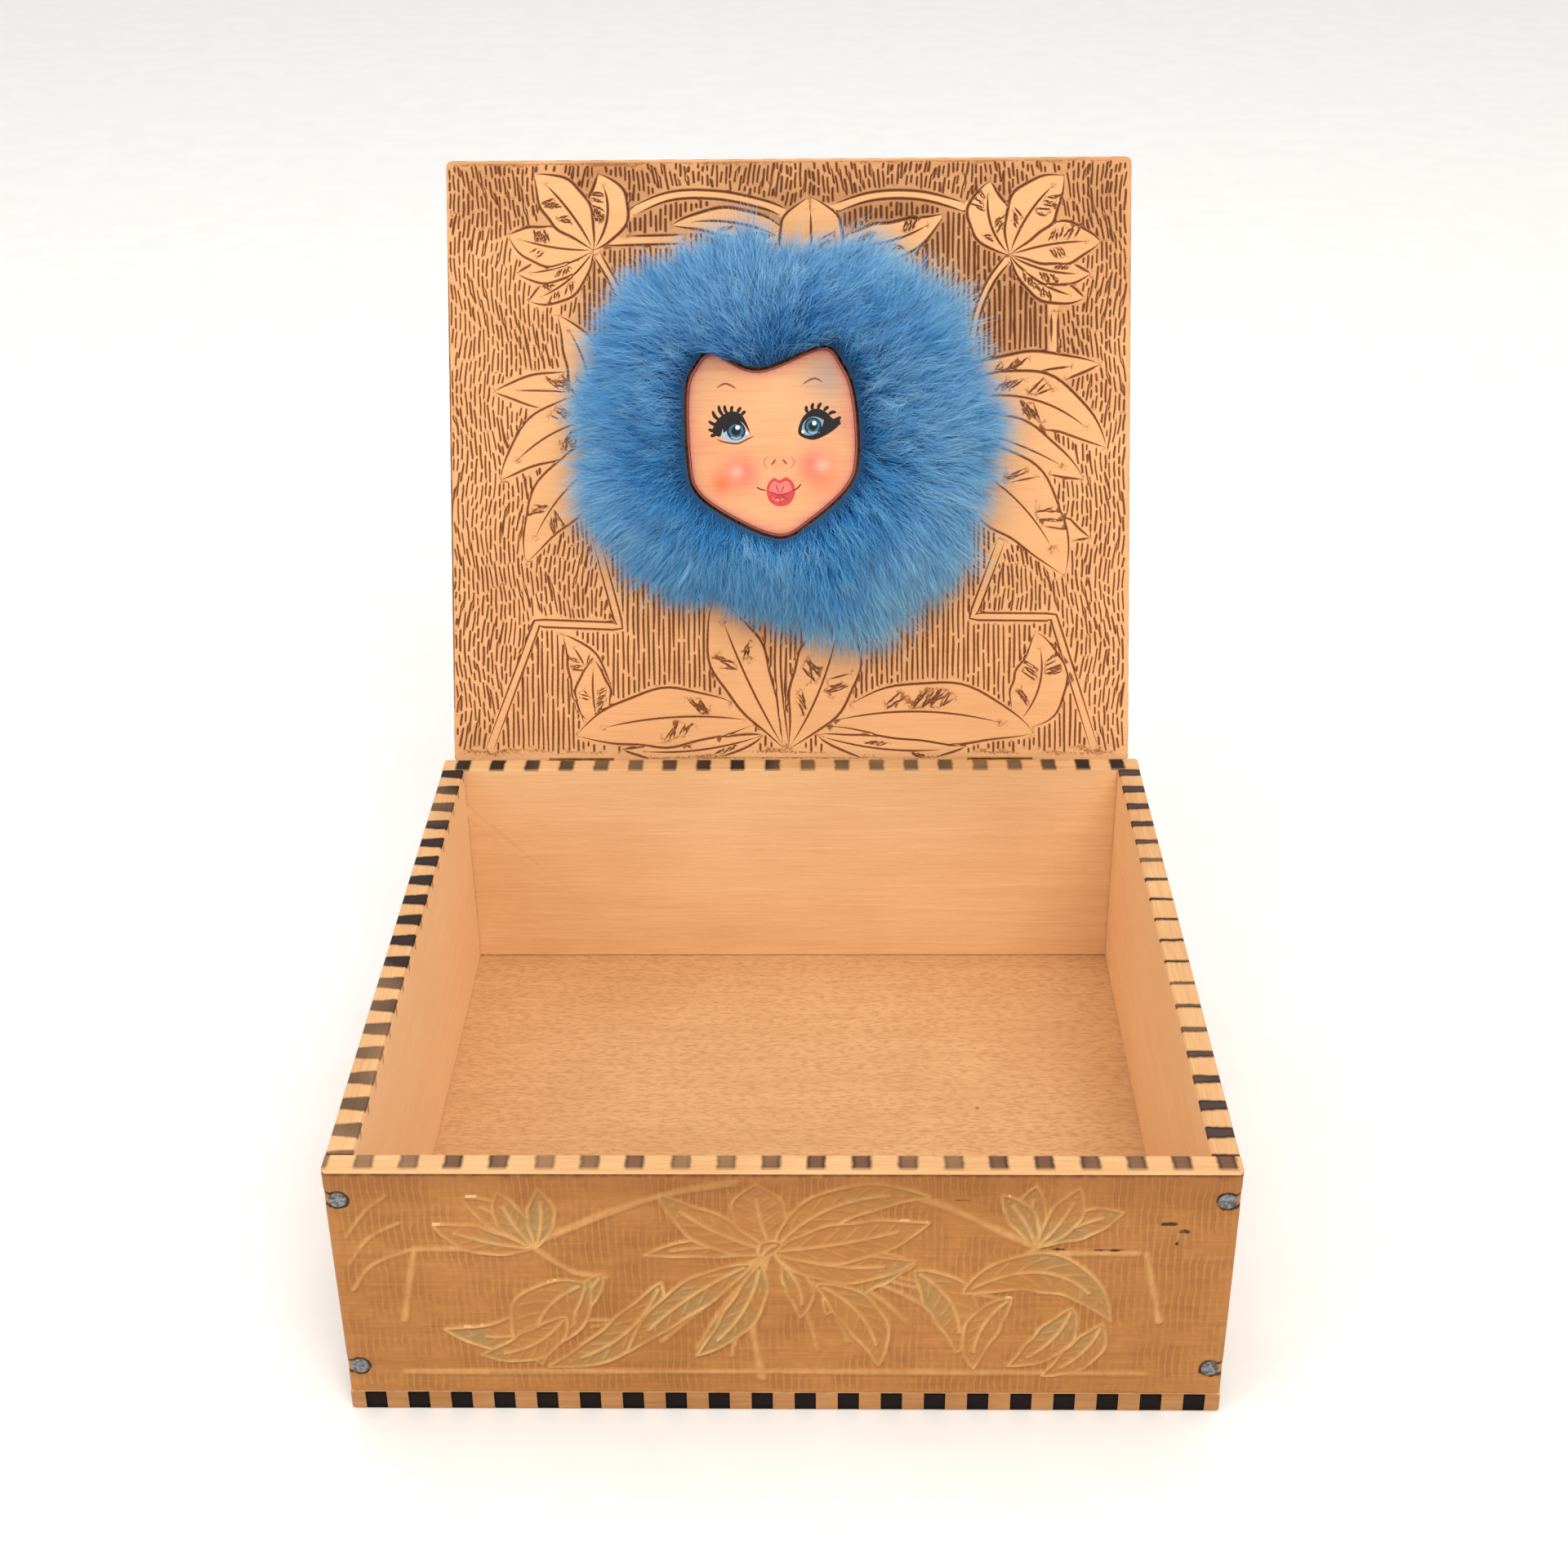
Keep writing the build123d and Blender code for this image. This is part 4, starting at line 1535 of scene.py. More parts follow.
def lid_flower() -> list[Leaf | Band]:
    """The design burned on the inside of the lid, from the back to the front."""
    left_foot, right_foot = (-57.0, 149.0), (64.6, 146.8)
    shapes: list[Leaf | Band] = [
        Band([(-49.8, 158.1), (-35.2, 164.3), (-20.7, 164.7), (-7.5, 162.0), (-0.8, 159.4)], 2.4),
        Band([(11.7, 160.0), (24.3, 164.0), (37.5, 164.3), (49.4, 161.4), (59.3, 157.4)], 2.4),
        Band([(64.6, 146.3), (59.3, 139.5), (55.3, 130.3), (53.5, 120.0)], 2.0),
        Band([(77.8, 133.6), (77.8, 112.0)], 2.0), Band([(-57, 149.5), (-51, 138.9), (-47, 130.0)], 2.0),
        Band([(-54, 151.5), (-30, 152.0)], 2.6),
        Band([(-57.0, 64.0), (-50.4, 38.5), (-74.9, 39.5), (-89.8, 0.9)], 2.2, sharp=True),
        Band([(62.5, 64.0), (54.0, 41.1), (77.8, 40.8), (90.3, 0.9)], 2.2, sharp=True),
        Leaf((40, 104), (91, 115), 14, 0.04), Leaf((60, 84), (88.4, 64.2), 12, -0.1, teeth=5),
        Leaf((48, 104), (93, 90.6), 17, 0.16, shading=3), Leaf((42, 98), (86.4, 81.4), 15, 0.06, shading=3),
        Leaf((42, 90), (81, 53), 23, 0.12, shading=3), Leaf((-44, 104), (-86.8, 107.8), 13, -0.04),
        Leaf((-44, 100), (-85, 82), 17, -0.14, shading=3),
        Leaf((-46, 92), (-77.8, 57.6), 17, -0.12, shading=3), Leaf((-58, 98), (-67.6, 130), 12, -0.1),
        Leaf((2, 150), (-34, 156), 9, -0.1), Leaf((12, 150), (45.4, 158.7), 12, -0.1, shading=5),
        Leaf((7, 138), (6.5, 164), 20, 0.0, belly=0.6), Leaf((-60, 8), (-67.2, 36), 12, -0.14, shading=3),
        Leaf((-57, 9), (-58, 28.5), 11, 0.05, shading=3), Leaf((66, 8), (72.5, 36.5), 17, -0.16, shading=4),
        Leaf((-8, 6), (-50, 1.8), 7, 0.06), Leaf((8, 6), (52, 2.4), 7.5, -0.06),
        Leaf((-9, 10), (-63.5, 6), 18, -0.06, belly=0.5, shading=4),
        Leaf((8, 9), (72, 6.5), 19, 0.08, belly=0.55, shading=4),
        Leaf((-0.5, 2), (15, 44), 20, -0.06, belly=0.55, shading=3),
        Leaf((-1.5, 1.5), (-22, 47), 17, 0.03, belly=0.6), Band([(-2.5, 46), (-3.6, 26), (-1.4, 3)], 1.7),
    ]
    petals = [
        (left_foot, (-76.2, 134.3), 9, 0.1), (left_foot, (-79.5, 142.4), 8, 0.08),
        (left_foot, (-55.5, 171.0), 13, -0.16), (left_foot, (-82.0, 153.5), 12, 0.05),
        (left_foot, (-74.0, 171.0), 13.5, -0.05), (right_foot, (86.4, 134.3), 9, -0.1),
        (right_foot, (88.2, 141.4), 8, -0.08), (right_foot, (59.0, 168.0), 13, 0.14),
        (right_foot, (91.0, 150.5), 13, 0.05), (right_foot, (80.4, 169.5), 14.5, 0.08),
    ]
    return shapes + [Leaf(foot, tip, width, bend, belly=0.55, shading=3) for foot, tip, width, bend in petals]


def lid_top_flower() -> list[Leaf | Band]:
    """The design on the top of the lid: a wreath of leaves round one open flower, inside a border."""
    heart = (0.0, 88.5)
    shapes: list[Leaf | Band] = [
        Band([(-84, 14), (84, 14), (84, 163), (-84, 163), (-84, 14)], 2.2, sharp=True)
    ]
    for count, first, near, far, width, bend, belly, shading in (
        (8, 22.5, 34, 70, 19, 0.14, 0.45, 4), (8, 0, 0, 41, 24, 0.05, 0.6, 4), (6, 0, 0, 8, 7, 0.1, 0.6, 0)
    ):
        for k in range(count):
            turn = radians(360 / count * k + first)
            foot = (heart[0] + near * cos(turn), heart[1] + near * sin(turn))
            tip = (heart[0] + far * cos(turn), heart[1] + min(far, 66) * sin(turn))
            shapes.append(Leaf(foot, tip, width, bend, belly, shading=shading))
    return shapes


@dataclass
class Hatching:
    """Background strokes: long upright ones inside the design's frame, short uneven ones round it.

    Attributes:
        width: The face's width.
        height: The face's height.
        within: The outline of the area that has long strokes.
        pitch: Distance between neighbouring strokes.
        clear: A round area that is left bare, as centre x, centre y and radius.
        seed: Fixes the hand's small irregularities.
    """

    width: float
    height: float
    within: Array
    pitch: float = 1.5
    clear: Triple | None = None
    seed: int = 11

    def column(
        self, rng: np.random.Generator, x: float, lengths: tuple, width: tuple, lean: float
    ) -> list[Stroke]:
        """Fills one column with strokes from the bottom of the face to its top.

        Args:
            rng: The source of irregularity.
            x: The column's place.
            lengths: Shortest and longest stroke.
            width: Thinnest and thickest stroke.
            lean: How far the strokes lean in waves, as a share of their length.

        Returns:
            The strokes.
        """
        strokes = []
        y = rng.uniform(0.5, 3.0)
        while y < self.height - 1.5:
            length = min(rng.uniform(*lengths), self.height - 0.6 - y)
            if length > 0.9:
                count = max(4, int(length / 0.8))
                t = np.linspace(0, 1, count)
                sway = lean * length * sin(x / 8.5 + y / 6.0) * (t - 0.5)
                shake = 0.12 * np.sin(rng.uniform(0, 6) + 4 * t)
                line = np.stack(
                    [np.clip(x + sway + shake, -self.width / 2 + 0.5, self.width / 2 - 0.5), y + t * length],
                    axis=1,
                )
                strokes.append(Stroke(line, rng.uniform(*width)))
            y += length + rng.uniform(0.3, 0.8)
        return strokes

    def strokes(self) -> list[Stroke]:
        """Returns all the background strokes, before the design covers some of them."""
        rng = np.random.default_rng(self.seed)
        drawn = []
        columns = np.arange(-self.width / 2 + 1.2, self.width / 2 - 0.8, self.pitch)
        for x in columns:
            for s in self.column(rng, x + rng.uniform(-0.12, 0.12), (9, 26), (0.9, 1.2), 0.0):
                drawn += s.kept(inside(s.line, self.within))
        for x in np.arange(-self.width / 2 + 1.0, self.width / 2 - 0.8, self.pitch * 0.9):
            for s in self.column(rng, x + rng.uniform(-0.14, 0.14), (2.4, 8.0), (0.75, 1.1), 0.16):
                drawn += s.kept(~inside(s.line, self.within))
        if self.clear is None:
            return drawn
        x, y, radius = self.clear
        return [s for s in drawn if np.hypot(*(s.line - (x, y)).T).max() > radius]


@dataclass
class BurnedLid:
    """The lid board, burned on both faces and checkered round its edge.

    Attributes:
        panel: Its inner face, from the middle of its hinge edge.
        width: Its width.
        length: Its length, away from the hinges.
        thickness: Its thickness.
        notches: Middle and length of each hinge's seat in the hinge edge.
        corner: The radius of the board's corners.
        edge: The rounding of its edges.
        notch_depth: Depth of a hinge's seat.
        groove: Depth of the hottest strokes.
        lift: How far the drawing on its inner face sits above its own frame.
        burned: The finish of its faces.
    """

    panel: Panel
    width: float
    length: float
    thickness: float
    notches: list[tuple[float, float]]
    corner: float = 1.6
    edge: float = 0.5
    notch_depth: float = 0.9
    groove: float = 0.22
    lift: float = 1.9
    burned: BurnedBasswood = BurnedBasswood(
        "basswood, burned with a hot point", light="#ecb27c", dark="#dba06b"
    )

    def outline(self) -> Array:
        """Returns the face's outline, inside its rounded edge, centred on x and y."""
        half_x, half_y = self.width / 2 - self.edge, self.length / 2 - self.edge
        r = self.corner
        points: list[Point] = []
        for middle, length in sorted(self.notches):
            for x, y in (
                (middle - length / 2, 0), (middle - length / 2, 1), (middle + length / 2, 1),
                (middle + length / 2, 0),
            ):
                points.append((x, -half_y + y * self.notch_depth))
        for turn, cx, cy in ((-90, 1, -1), (0, 1, 1), (90, -1, 1), (180, -1, -1)):
            for k in range(5):
                a = radians(turn + 22.5 * k)
                points.append((cx * (half_x - r) + r * cos(a), cy * (half_y - r) + r * sin(a)))
        return np.array(points)

    def sheet(self, name: str, drawing: Drawing, hatching: Hatching, lift: float = 0.0) -> Object:
        """Makes one burned face, centred on x and y.

        Args:
            name: The sheet's name.
            drawing: The design, with y from the hinge edge.
            hatching: The strokes behind it.
            lift: How far the drawing is moved up.

        Returns:
            The sheet, with its rim carried round the edge.
        """
        middle = self.length / 2 - lift
        drawn = []
        hatched = drawing.behind(hatching.strokes())
        for group in (hatched, drawing.line_work()):
            for s in group:
                s.heat = float(drawing.tone(s.line.mean(0)[None])[0])
                s.width *= 0.82 + 0.42 * s.heat
                off_x, off_y = np.abs(s.line[:, 0]), np.abs(s.line[:, 1] - middle)
                pieces = s.kept((off_x < self.width / 2 - 0.9) & (off_y < self.length / 2 - 0.9))
                drawn += [piece.simpler() for piece in pieces] if group is hatched else pieces
        obj = grooved_sheet(name, self.outline() + (0, middle), drawn, drawing, self.groove)
        move_points(obj, points_of(obj) - (0, middle, 0))
        drop_rim(obj, round_over(self.edge, self.width, self.length, 2))
        bpy.ops.object.mode_set(mode="OBJECT")
        return obj

    def build(self) -> Object:
        """Models the board and returns it, in place."""
        frame_line = np.array(
            [
                (-50, 158), (-35, 164), (-20, 164.5), (0, 160), (12, 160), (25, 164), (38, 164.5),
                (50, 161.5), (59, 157), (64, 147), (77.8, 134), (77.8, 112), (62, 62), (54, 41), (78, 41),
                (90.5, 0), (-90, 0), (-75, 39.5), (-50, 38.5), (-57, 62), (-72, 100), (-57, 149),
            ],
            float,
        )
        square = np.array([(-84, 14), (84, 14), (84, 163), (-84, 163)], float)
        scorched = (
            (0, 172, 105, 20, 0.55), (62, 128, 26, 26, 0.55), (-50, 134, 15, 24, 0.35),
            (10, 150, 40, 14, 0.3), (0, 30, 60, 26, 0.1), (-98, 10, 14, 34, 0.15), (96, 150, 10, 50, 0.15),
        )
        inner = self.sheet(
            "burned_lid", Drawing(lid_flower(), 0.24, scorched),
            Hatching(self.width, self.length, frame_line, clear=(-2, 92, 43)), self.lift,
        )
        top = Drawing(lid_top_flower(), 0.45, ((0, 88, 60, 60, 0.3),))
        outer = self.sheet("lid_top", top, Hatching(self.width, self.length, square, pitch=2.4, seed=23))
        move_points(outer, points_of(outer) * (-1, 1, -1) - (0, 0, self.thickness))
        only(inner, outer)
        bpy.ops.object.join()
        select_rim(inner)
        bpy.ops.mesh.bridge_edge_loops()
        bpy.ops.object.mode_set(mode="OBJECT")
        move_points(inner, points_of(inner) + (0, self.length / 2, 0))
        self.dress(inner)
        return self.panel.place(inner)

    def dress(self, obj: Object) -> None:
        """Gives the faces and each edge of the board their finishes."""
        up = tuple(self.panel.up)
        start = tuple(self.panel.origin + self.panel.right * (4.0 - self.width / 2) * MM)
        across = CheckedEdge("basswood, checkered lid end", start=start, across=up)
        along = CheckedEdge("basswood, checkered lid side", run=up, start=start, pitch=9.1, across=(1, 0, 0))
        coat(obj, self.burned, across, along)
        for face in obj.data.polygons:
            if abs(face.normal.z) < 0.5:
                face.material_index = 1 if abs(face.normal.y) > abs(face.normal.x) else 2


# ---------------------------------------------------------------- the doll face


@dataclass
class DollFace:
    """The doll's face: a flat piece of sawn wood with painted features. Its middle is the plaque's own.

    Attributes:
        panel: The lid's inner face.
        centre: The face's middle on the lid.
        top: Height of its front over the lid.
        grid: Size of the mesh's cells under the skin.
        paint: Its finish.
    """

    panel: Panel
    centre: Point
    top: float
    grid: float = 0.8
    paint: ArtistsPaint = ArtistsPaint("artist's paint on wood, satin varnish", 0.42, 0.3)

    OUTLINE = [
        (-17.3, 26.3), (-4.0, 21.3), (14.2, 27.8), (20.4, 22.4), (23.8, 13.2), (24.8, -3.4), (21.9, -12.9),
        (10.9, -22.9), (1.8, -27.4), (-11.9, -22.0), (-22.3, -14.2), (-24.8, -4.4), (-25.2, 14.5),
        (-22.7, 21.9),
    ]
    SKIN = "#f0b07c"
    BLACK = "#16100f"

    def outline(self, inset: float) -> Array:
        """Returns the face's outline, moved in by the inset."""
        line = smooth_line(self.OUTLINE, 9, closed=True)
        wrapped = np.vstack([line[-1:], line, line[:1]])
        return line - normals(wrapped)[1:-1] * inset

    def brush(self, points: list[Point], width: float, colour: str) -> tuple[Array, str]:
        """Returns the outline and colour of one brush stroke."""
        return Stroke(smooth_line(points, 4), width).outline(), colour

    def disc(self, middle: Point, radius: float, colour: str, count: int = 28) -> tuple[Array, str]:
        """Returns the outline and colour of a round dab."""
        turn = np.linspace(0, 2 * pi, count, endpoint=False)
        return np.stack(
            [middle[0] + radius * np.cos(turn), middle[1] + radius * np.sin(turn)], axis=1
        ), colour

    def patch(self, points: list[Point], colour: str) -> tuple[Array, str]:
        """Returns the outline and colour of a smooth-edged patch."""
        return smooth_line(points, 5, closed=True), colour

    def iris(self, x: float, y: float, radius: float) -> list:
        """Paints one iris, from its dark rim to its highlight."""
        rings = [(1.0, "#0b151c"), (0.84, "#1f4e69"), (0.72, "#3f7d9e"), (0.6, "#235570"), (0.48, "#080c0f")]
        dabs = [self.disc((x, y), radius * share, colour) for share, colour in rings]
        dabs.append(
            self.brush(
                [
                    (x - 0.6 * radius, y - 0.62 * radius), (x, y - 0.84 * radius),
                    (x + 0.62 * radius, y - 0.6 * radius),
                ],
                0.6, "#86b7d0",
            )
        )
        dabs.append(self.disc((x + 0.16 * radius, y + 0.36 * radius), 0.24 * radius, "#ffffff", 14))
        return dabs

    def left_eye(self) -> list:
        """Paints the eye on the viewer's left."""
        white = [
            (-15.4, 2.2), (-14.8, 4.2), (-13.4, 6.4), (-11, 7.2), (-9, 6.2), (-7.8, 3.8), (-6.7, 2.7),
            (-8.5, 1.3), (-11, 0.4), (-13.6, 0.8),
        ]
        lid = [
            (-17.6, 3.4), (-16.2, 6.8), (-12.7, 9.2), (-9.4, 8.6), (-7.7, 6.0), (-6.5, 2.7), (-7.6, 4.4),
            (-9.0, 6.1), (-11.1, 6.9), (-13.5, 6.0), (-14.6, 4.0), (-15.5, 1.9),
        ]
        lashes = [
            ((-15.6, 5.5), (-17.3, 5.6), (-18.9, 6.6)), ((-16.2, 3.9), (-17.6, 3.7), (-18.9, 4.2)),
            ((-15.4, 6.6), (-16.9, 7.9), (-17.6, 9.6)), ((-14.3, 7.8), (-15.4, 9.4), (-15.8, 11.2)),
            ((-13.2, 8.5), (-13.9, 9.8), (-14.0, 11.2)), ((-11.9, 8.9), (-12.0, 10.0), (-11.6, 10.9)),
            ((-10.3, 8.8), (-9.8, 9.8), (-9.1, 10.5)), ((-16.4, 2.8), (-17.4, 2.3), (-18.3, 2.3)),
            ((-9.2, 8.1), (-8.5, 8.9), (-7.8, 9.3)),
        ]
        painted = [self.patch(white, "#aebfcc")] + self.iris(-10.7, 3.6, 2.75)
        painted.append(self.patch(lid, self.BLACK))
        painted.append(self.brush([(-14.4, 3.0), (-13.2, 5.2), (-11.0, 6.3), (-8.6, 5.2)], 1.6, self.BLACK))
        painted.append(self.disc((-10.3, 4.6), 0.62, "#ffffff", 14))
        painted += [self.brush(list(lash), 1.0, "#1c1211") for lash in lashes]
        painted.append(
            self.brush([(-16.6, 1.3), (-14.2, 0.4), (-10.4, -0.1), (-7.4, 1.2), (-5.3, 2.2)], 0.5, "#6b4436")
        )
        painted.append(self.disc((-7.5, 2.9), 0.45, "#f3ece4", 12))
        return painted

    def right_eye(self) -> list:
        """Paints the eye on the viewer's right, with its darker lid and wing."""
        lid = [
            (7.6, 2.5), (8.0, 6.0), (10.2, 9.0), (13.0, 10.0), (15.8, 8.8), (17.5, 7.1), (19.6, 7.0),
            (18.8, 4.6), (15.2, 2.1), (11.4, 0.9),
        ]
        opening = [
            (8.5, 3.1), (8.9, 5.7), (10.8, 7.5), (13.4, 7.4), (15.4, 6.0), (14.9, 4.0), (12.7, 2.6),
            (10.2, 2.2),
        ]
        lashes = [
            ((10.2, 8.6), (9.8, 9.8), (9.9, 10.9)), ((11.6, 9.4), (11.5, 10.6), (11.9, 11.7)),
            ((13.2, 9.7), (13.5, 10.8), (14.3, 11.7)), ((14.8, 9.2), (15.6, 10.1), (16.4, 10.5)),
            ((16.2, 8.2), (17.3, 8.9), (18.6, 8.9)), ((17.4, 6.4), (18.8, 6.9), (20.0, 7.6)),
            ((17.6, 5.4), (18.9, 5.5), (19.9, 5.9)),
        ]
        painted = [self.patch(lid, self.BLACK), self.patch(opening, "#86a2b2")]
        painted += self.iris(11.7, 4.9, 2.5)
        painted.append(self.brush([(8.0, 5.6), (10.2, 7.9), (13.0, 8.4), (15.6, 7.0)], 1.5, self.BLACK))
        painted.append(self.brush([(15.6, 7.2), (15.2, 4.8), (13.6, 2.9)], 1.5, self.BLACK))
        painted.append(self.disc((12.1, 5.7), 0.6, "#ffffff", 14))
        painted.append(self.disc((8.8, 3.3), 0.5, "#e9e0c4", 12))
        painted += [self.brush(list(lash), 1.0, "#1c1211") for lash in lashes]
        return painted

    def nose_and_mouth(self) -> list:
        """Paints the brows, nose, lips and chin."""
        lips = [
            (-1.9, -14.2), (-1.4, -11.7), (0.3, -10.1), (1.9, -10.8), (3.9, -9.9), (5.8, -11.4), (6.5, -13.7),
            (5.9, -16.2), (4.3, -18.0), (1.5, -18.4), (-1.0, -17.0),
        ]
        upper = [
            (-1.0, -14.0), (-0.6, -12.0), (0.5, -11.1), (2.0, -11.8), (3.9, -11.0), (5.1, -12.2),
            (5.3, -14.0), (3.2, -14.6), (1.4, -15.0),
        ]
        gleam = [(0.0, -15.8), (1.6, -16.4), (3.2, -16.2), (1.8, -17.0), (0.2, -16.6)]
        painted = [
            self.patch(lips, "#d84a47"), self.patch(upper, "#ef8079"), self.patch(gleam, "#f09088"),
            self.brush(
                [(-1.4, -13.9), (0.3, -14.6), (2.0, -15.1), (4.0, -14.7), (6.0, -13.6)], 0.4, "#a32c33"
            ),
            self.brush([(2.0, -15.0), (1.2, -13.2), (0.9, -11.9)], 0.34, "#b53a3c"),
            self.brush([(2.0, -15.0), (2.9, -13.3), (3.2, -12.3)], 0.3, "#b53a3c"),
            self.brush([(2.0, -15.0), (0.6, -16.2), (0.0, -17.0)], 0.32, "#b02f35"),
            self.brush([(2.0, -15.0), (3.8, -16.2), (4.6, -16.9)], 0.32, "#b02f35"),
            self.brush([(2.0, -15.0), (2.0, -16.6), (2.1, -17.6)], 0.3, "#b02f35"),
            self.brush([(-4.9, -12.6), (-3.8, -13.4), (-1.8, -13.8)], 0.42, "#6d2a26"),
            self.brush([(8.3, -11.7), (7.2, -13.1), (5.4, -14.1)], 0.46, "#6d2a26"),
            self.brush([(0.8, -4.6), (0.2, -5.6), (-0.5, -6.4)], 0.62, "#a8502c"),
            self.brush([(2.8, -4.6), (3.5, -5.5), (4.1, -6.2)], 0.62, "#a8502c"),
            self.brush([(-1.5, -3.8), (-2.7, -5.5), (-1.6, -7.6)], 0.34, "#d0764c"),
            self.brush([(5.1, -3.8), (6.3, -5.6), (4.9, -7.6)], 0.34, "#d0764c"),
            self.brush([(-16.5, 16.0), (-14.1, 17.3), (-12.4, 16.9), (-10.4, 15.8)], 0.62, "#96552f"),
            self.brush([(8.6, 16.9), (10.8, 18.3), (12.7, 18.7), (14.8, 17.5)], 0.6, "#8a5a3a"),
            self.brush([(-2.2, -20.2), (1.2, -19.6), (4.6, -19.8)], 0.4, "#f0a07a"),
            self.brush([(-0.4, -21.6), (1.4, -21.9), (3.0, -21.6)], 0.5, "#f2a97f"),
        ]
        return painted

    def skin_at(self, points: Array, edge: Array) -> Array:
        """Works out the soft colours of the skin.

        Args:
            points: Places on the face.
            edge: Each place's distance from the outline.

        Returns:
            A linear colour for each place.
        """
        colour = np.tile(linear(self.SKIN), (len(points), 1))
        dabs = [
            ((-10.6, -8.6), 8.0, "#f28a6c", 0.72), ((13.6, -7.2), 8.0, "#f28a6c", 0.7),
            ((-8.8, -8.6), 4.4, "#ea6a62", 0.72), ((11.6, -6.2), 4.4, "#ea6a62", 0.68),
            ((-15.0, -11.9), 3.4, "#e8622f", 0.66), ((14.6, -11.0), 4.2, "#ee7d4e", 0.5),
            ((-10.6, -8.3), 2.3, "#fbbfa2", 0.7), ((14.4, -6.4), 2.4, "#fcc6ab", 0.66),
            # painted shade: the grey dab at the right temple, just below, stands for the shadow of the
            # overhanging fur
            ((16.6, 20.0), 9.0, "#bda191", 0.85), ((1.5, 5.0), 8.0, "#f7ab72", 0.5),
            ((0.0, 14.0), 9.0, "#f9c795", 0.4), ((1.6, -5.5), 3.6, "#f2966a", 0.55),
            ((-19.0, 0.0), 5.5, "#f29a6e", 0.5), ((20.5, 6.0), 5.0, "#dd917c", 0.6),
            ((1.5, -23.5), 5.0, "#f3a877", 0.5), ((-20.5, 17.0), 6.0, "#efb286", 0.5),
        ]
        for middle, size, code, strength in dabs:
            away = np.hypot(*(points - np.array(middle)).T) / size
            share = (strength * np.exp(-away**2 * 1.3))[:, None]
            colour = colour * (1 - share) + np.array(linear(code)) * share
        for reach, code, strength in ((4.0, "#e88a76", 0.6), (1.4, "#c05a54", 0.7)):
            share = (strength * np.clip(1 - edge / reach, 0, 1)**1.2)[:, None]
            colour = colour * (1 - share) + np.array(linear(code)) * share
        return colour

    def build(self) -> Object:
        """Models and paints the face and returns it, in place."""
        painted = self.left_eye() + self.right_eye() + self.nose_and_mouth()
        rim = self.outline(0.7)
        x, y = np.meshgrid(np.arange(-26, 26, self.grid), np.arange(-28, 29, self.grid))
        extra = np.stack([x.ravel() + 0.2 * (y.ravel() / self.grid % 2), y.ravel()], axis=1)
        extra = extra[inside(extra, self.outline(1.1))]
        corners, edges, first = [extra], [], len(extra)
        for loop in [rim, self.outline(0.95)] + [shape for shape, _ in painted]:
            edges.append(joined(np.arange(len(loop)) + first, True))
            corners.append(loop)
            first += len(loop)
        points, triangles, _ = cut_flat(corners, edges)
        faces = [f for f in triangles if inside(points[list(f), :2].mean(0)[None], rim)[0]]
        obj = from_points("doll_face", points, faces)
        self.colour_faces(obj, painted, rim)
        self.give_thickness(obj)
        coat(obj, self.paint)
        move_points(obj, points_of(obj) + (*self.centre, self.top))
        only(obj)
        bpy.ops.object.shade_smooth_by_angle(angle=radians(50))
        return self.panel.place(obj)

    def colour_faces(self, obj: Object, painted: list, rim: Array) -> None:
        """Stores the painted colour of each corner of each face."""
        points = points_of(obj)[:, :2]
        tree = KDTree(len(rim))
        for i, p in enumerate(rim):
            tree.insert((*p, 0), i)
        tree.balance()
        edge = np.array([tree.find((*p, 0))[2] for p in points])
        skin = self.skin_at(points, edge)
        corner_points = np.array([loop.vertex_index for loop in obj.data.loops])
        values = skin[corner_points]
        middles = np.array([tuple(face.center)[:2] for face in obj.data.polygons])
        owner = np.repeat(np.arange(len(middles)), [face.loop_total for face in obj.data.polygons])
        for loop, code in painted:
            hit = inside(middles, loop)
            values[hit[owner]] = linear(code)
        outer = ~inside(middles, self.outline(0.95))
        values[outer[owner]] = linear("#6e2b30")
        attribute = obj.data.attributes.new("paint", "FLOAT_COLOR", "CORNER")
        attribute.data.foreach_set("color", values.astype(np.float32).ravel())

    def give_thickness(self, obj: Object) -> None:
        """Rounds the face's edge over and carries it down to the lid."""
        drop_rim(obj, [])
        for drop, grow in ((0.12, 0.3), (0.3, 0.3), (0.4, 0.1), (self.top - 0.87, 0.0)):
            bpy.ops.mesh.extrude_region_move(TRANSFORM_OT_translate={"value": (0, 0, -drop)})
            if grow:
                bpy.ops.transform.resize(value=(1 + grow / 25, 1 + grow / 27, 1), center_override=(0, 0, 0))
        bpy.ops.mesh.edge_face_add()
        bpy.ops.object.mode_set(mode="OBJECT")
        values = np.empty(len(obj.data.loops) * 4, np.float32)
        attribute = obj.data.attributes["paint"]
        attribute.data.foreach_get("color", values)
        values = values.reshape(-1, 4)
        for face in obj.data.polygons:
            if face.normal.z < 0.95:
                edge = "#c4705f" if face.normal.z > 0.4 else "#6e2b30"
                values[face.loop_start:face.loop_start + face.loop_total] = linear(edge)
        attribute.data.foreach_set("color", values.ravel())


# ---------------------------------------------------------------- the fur


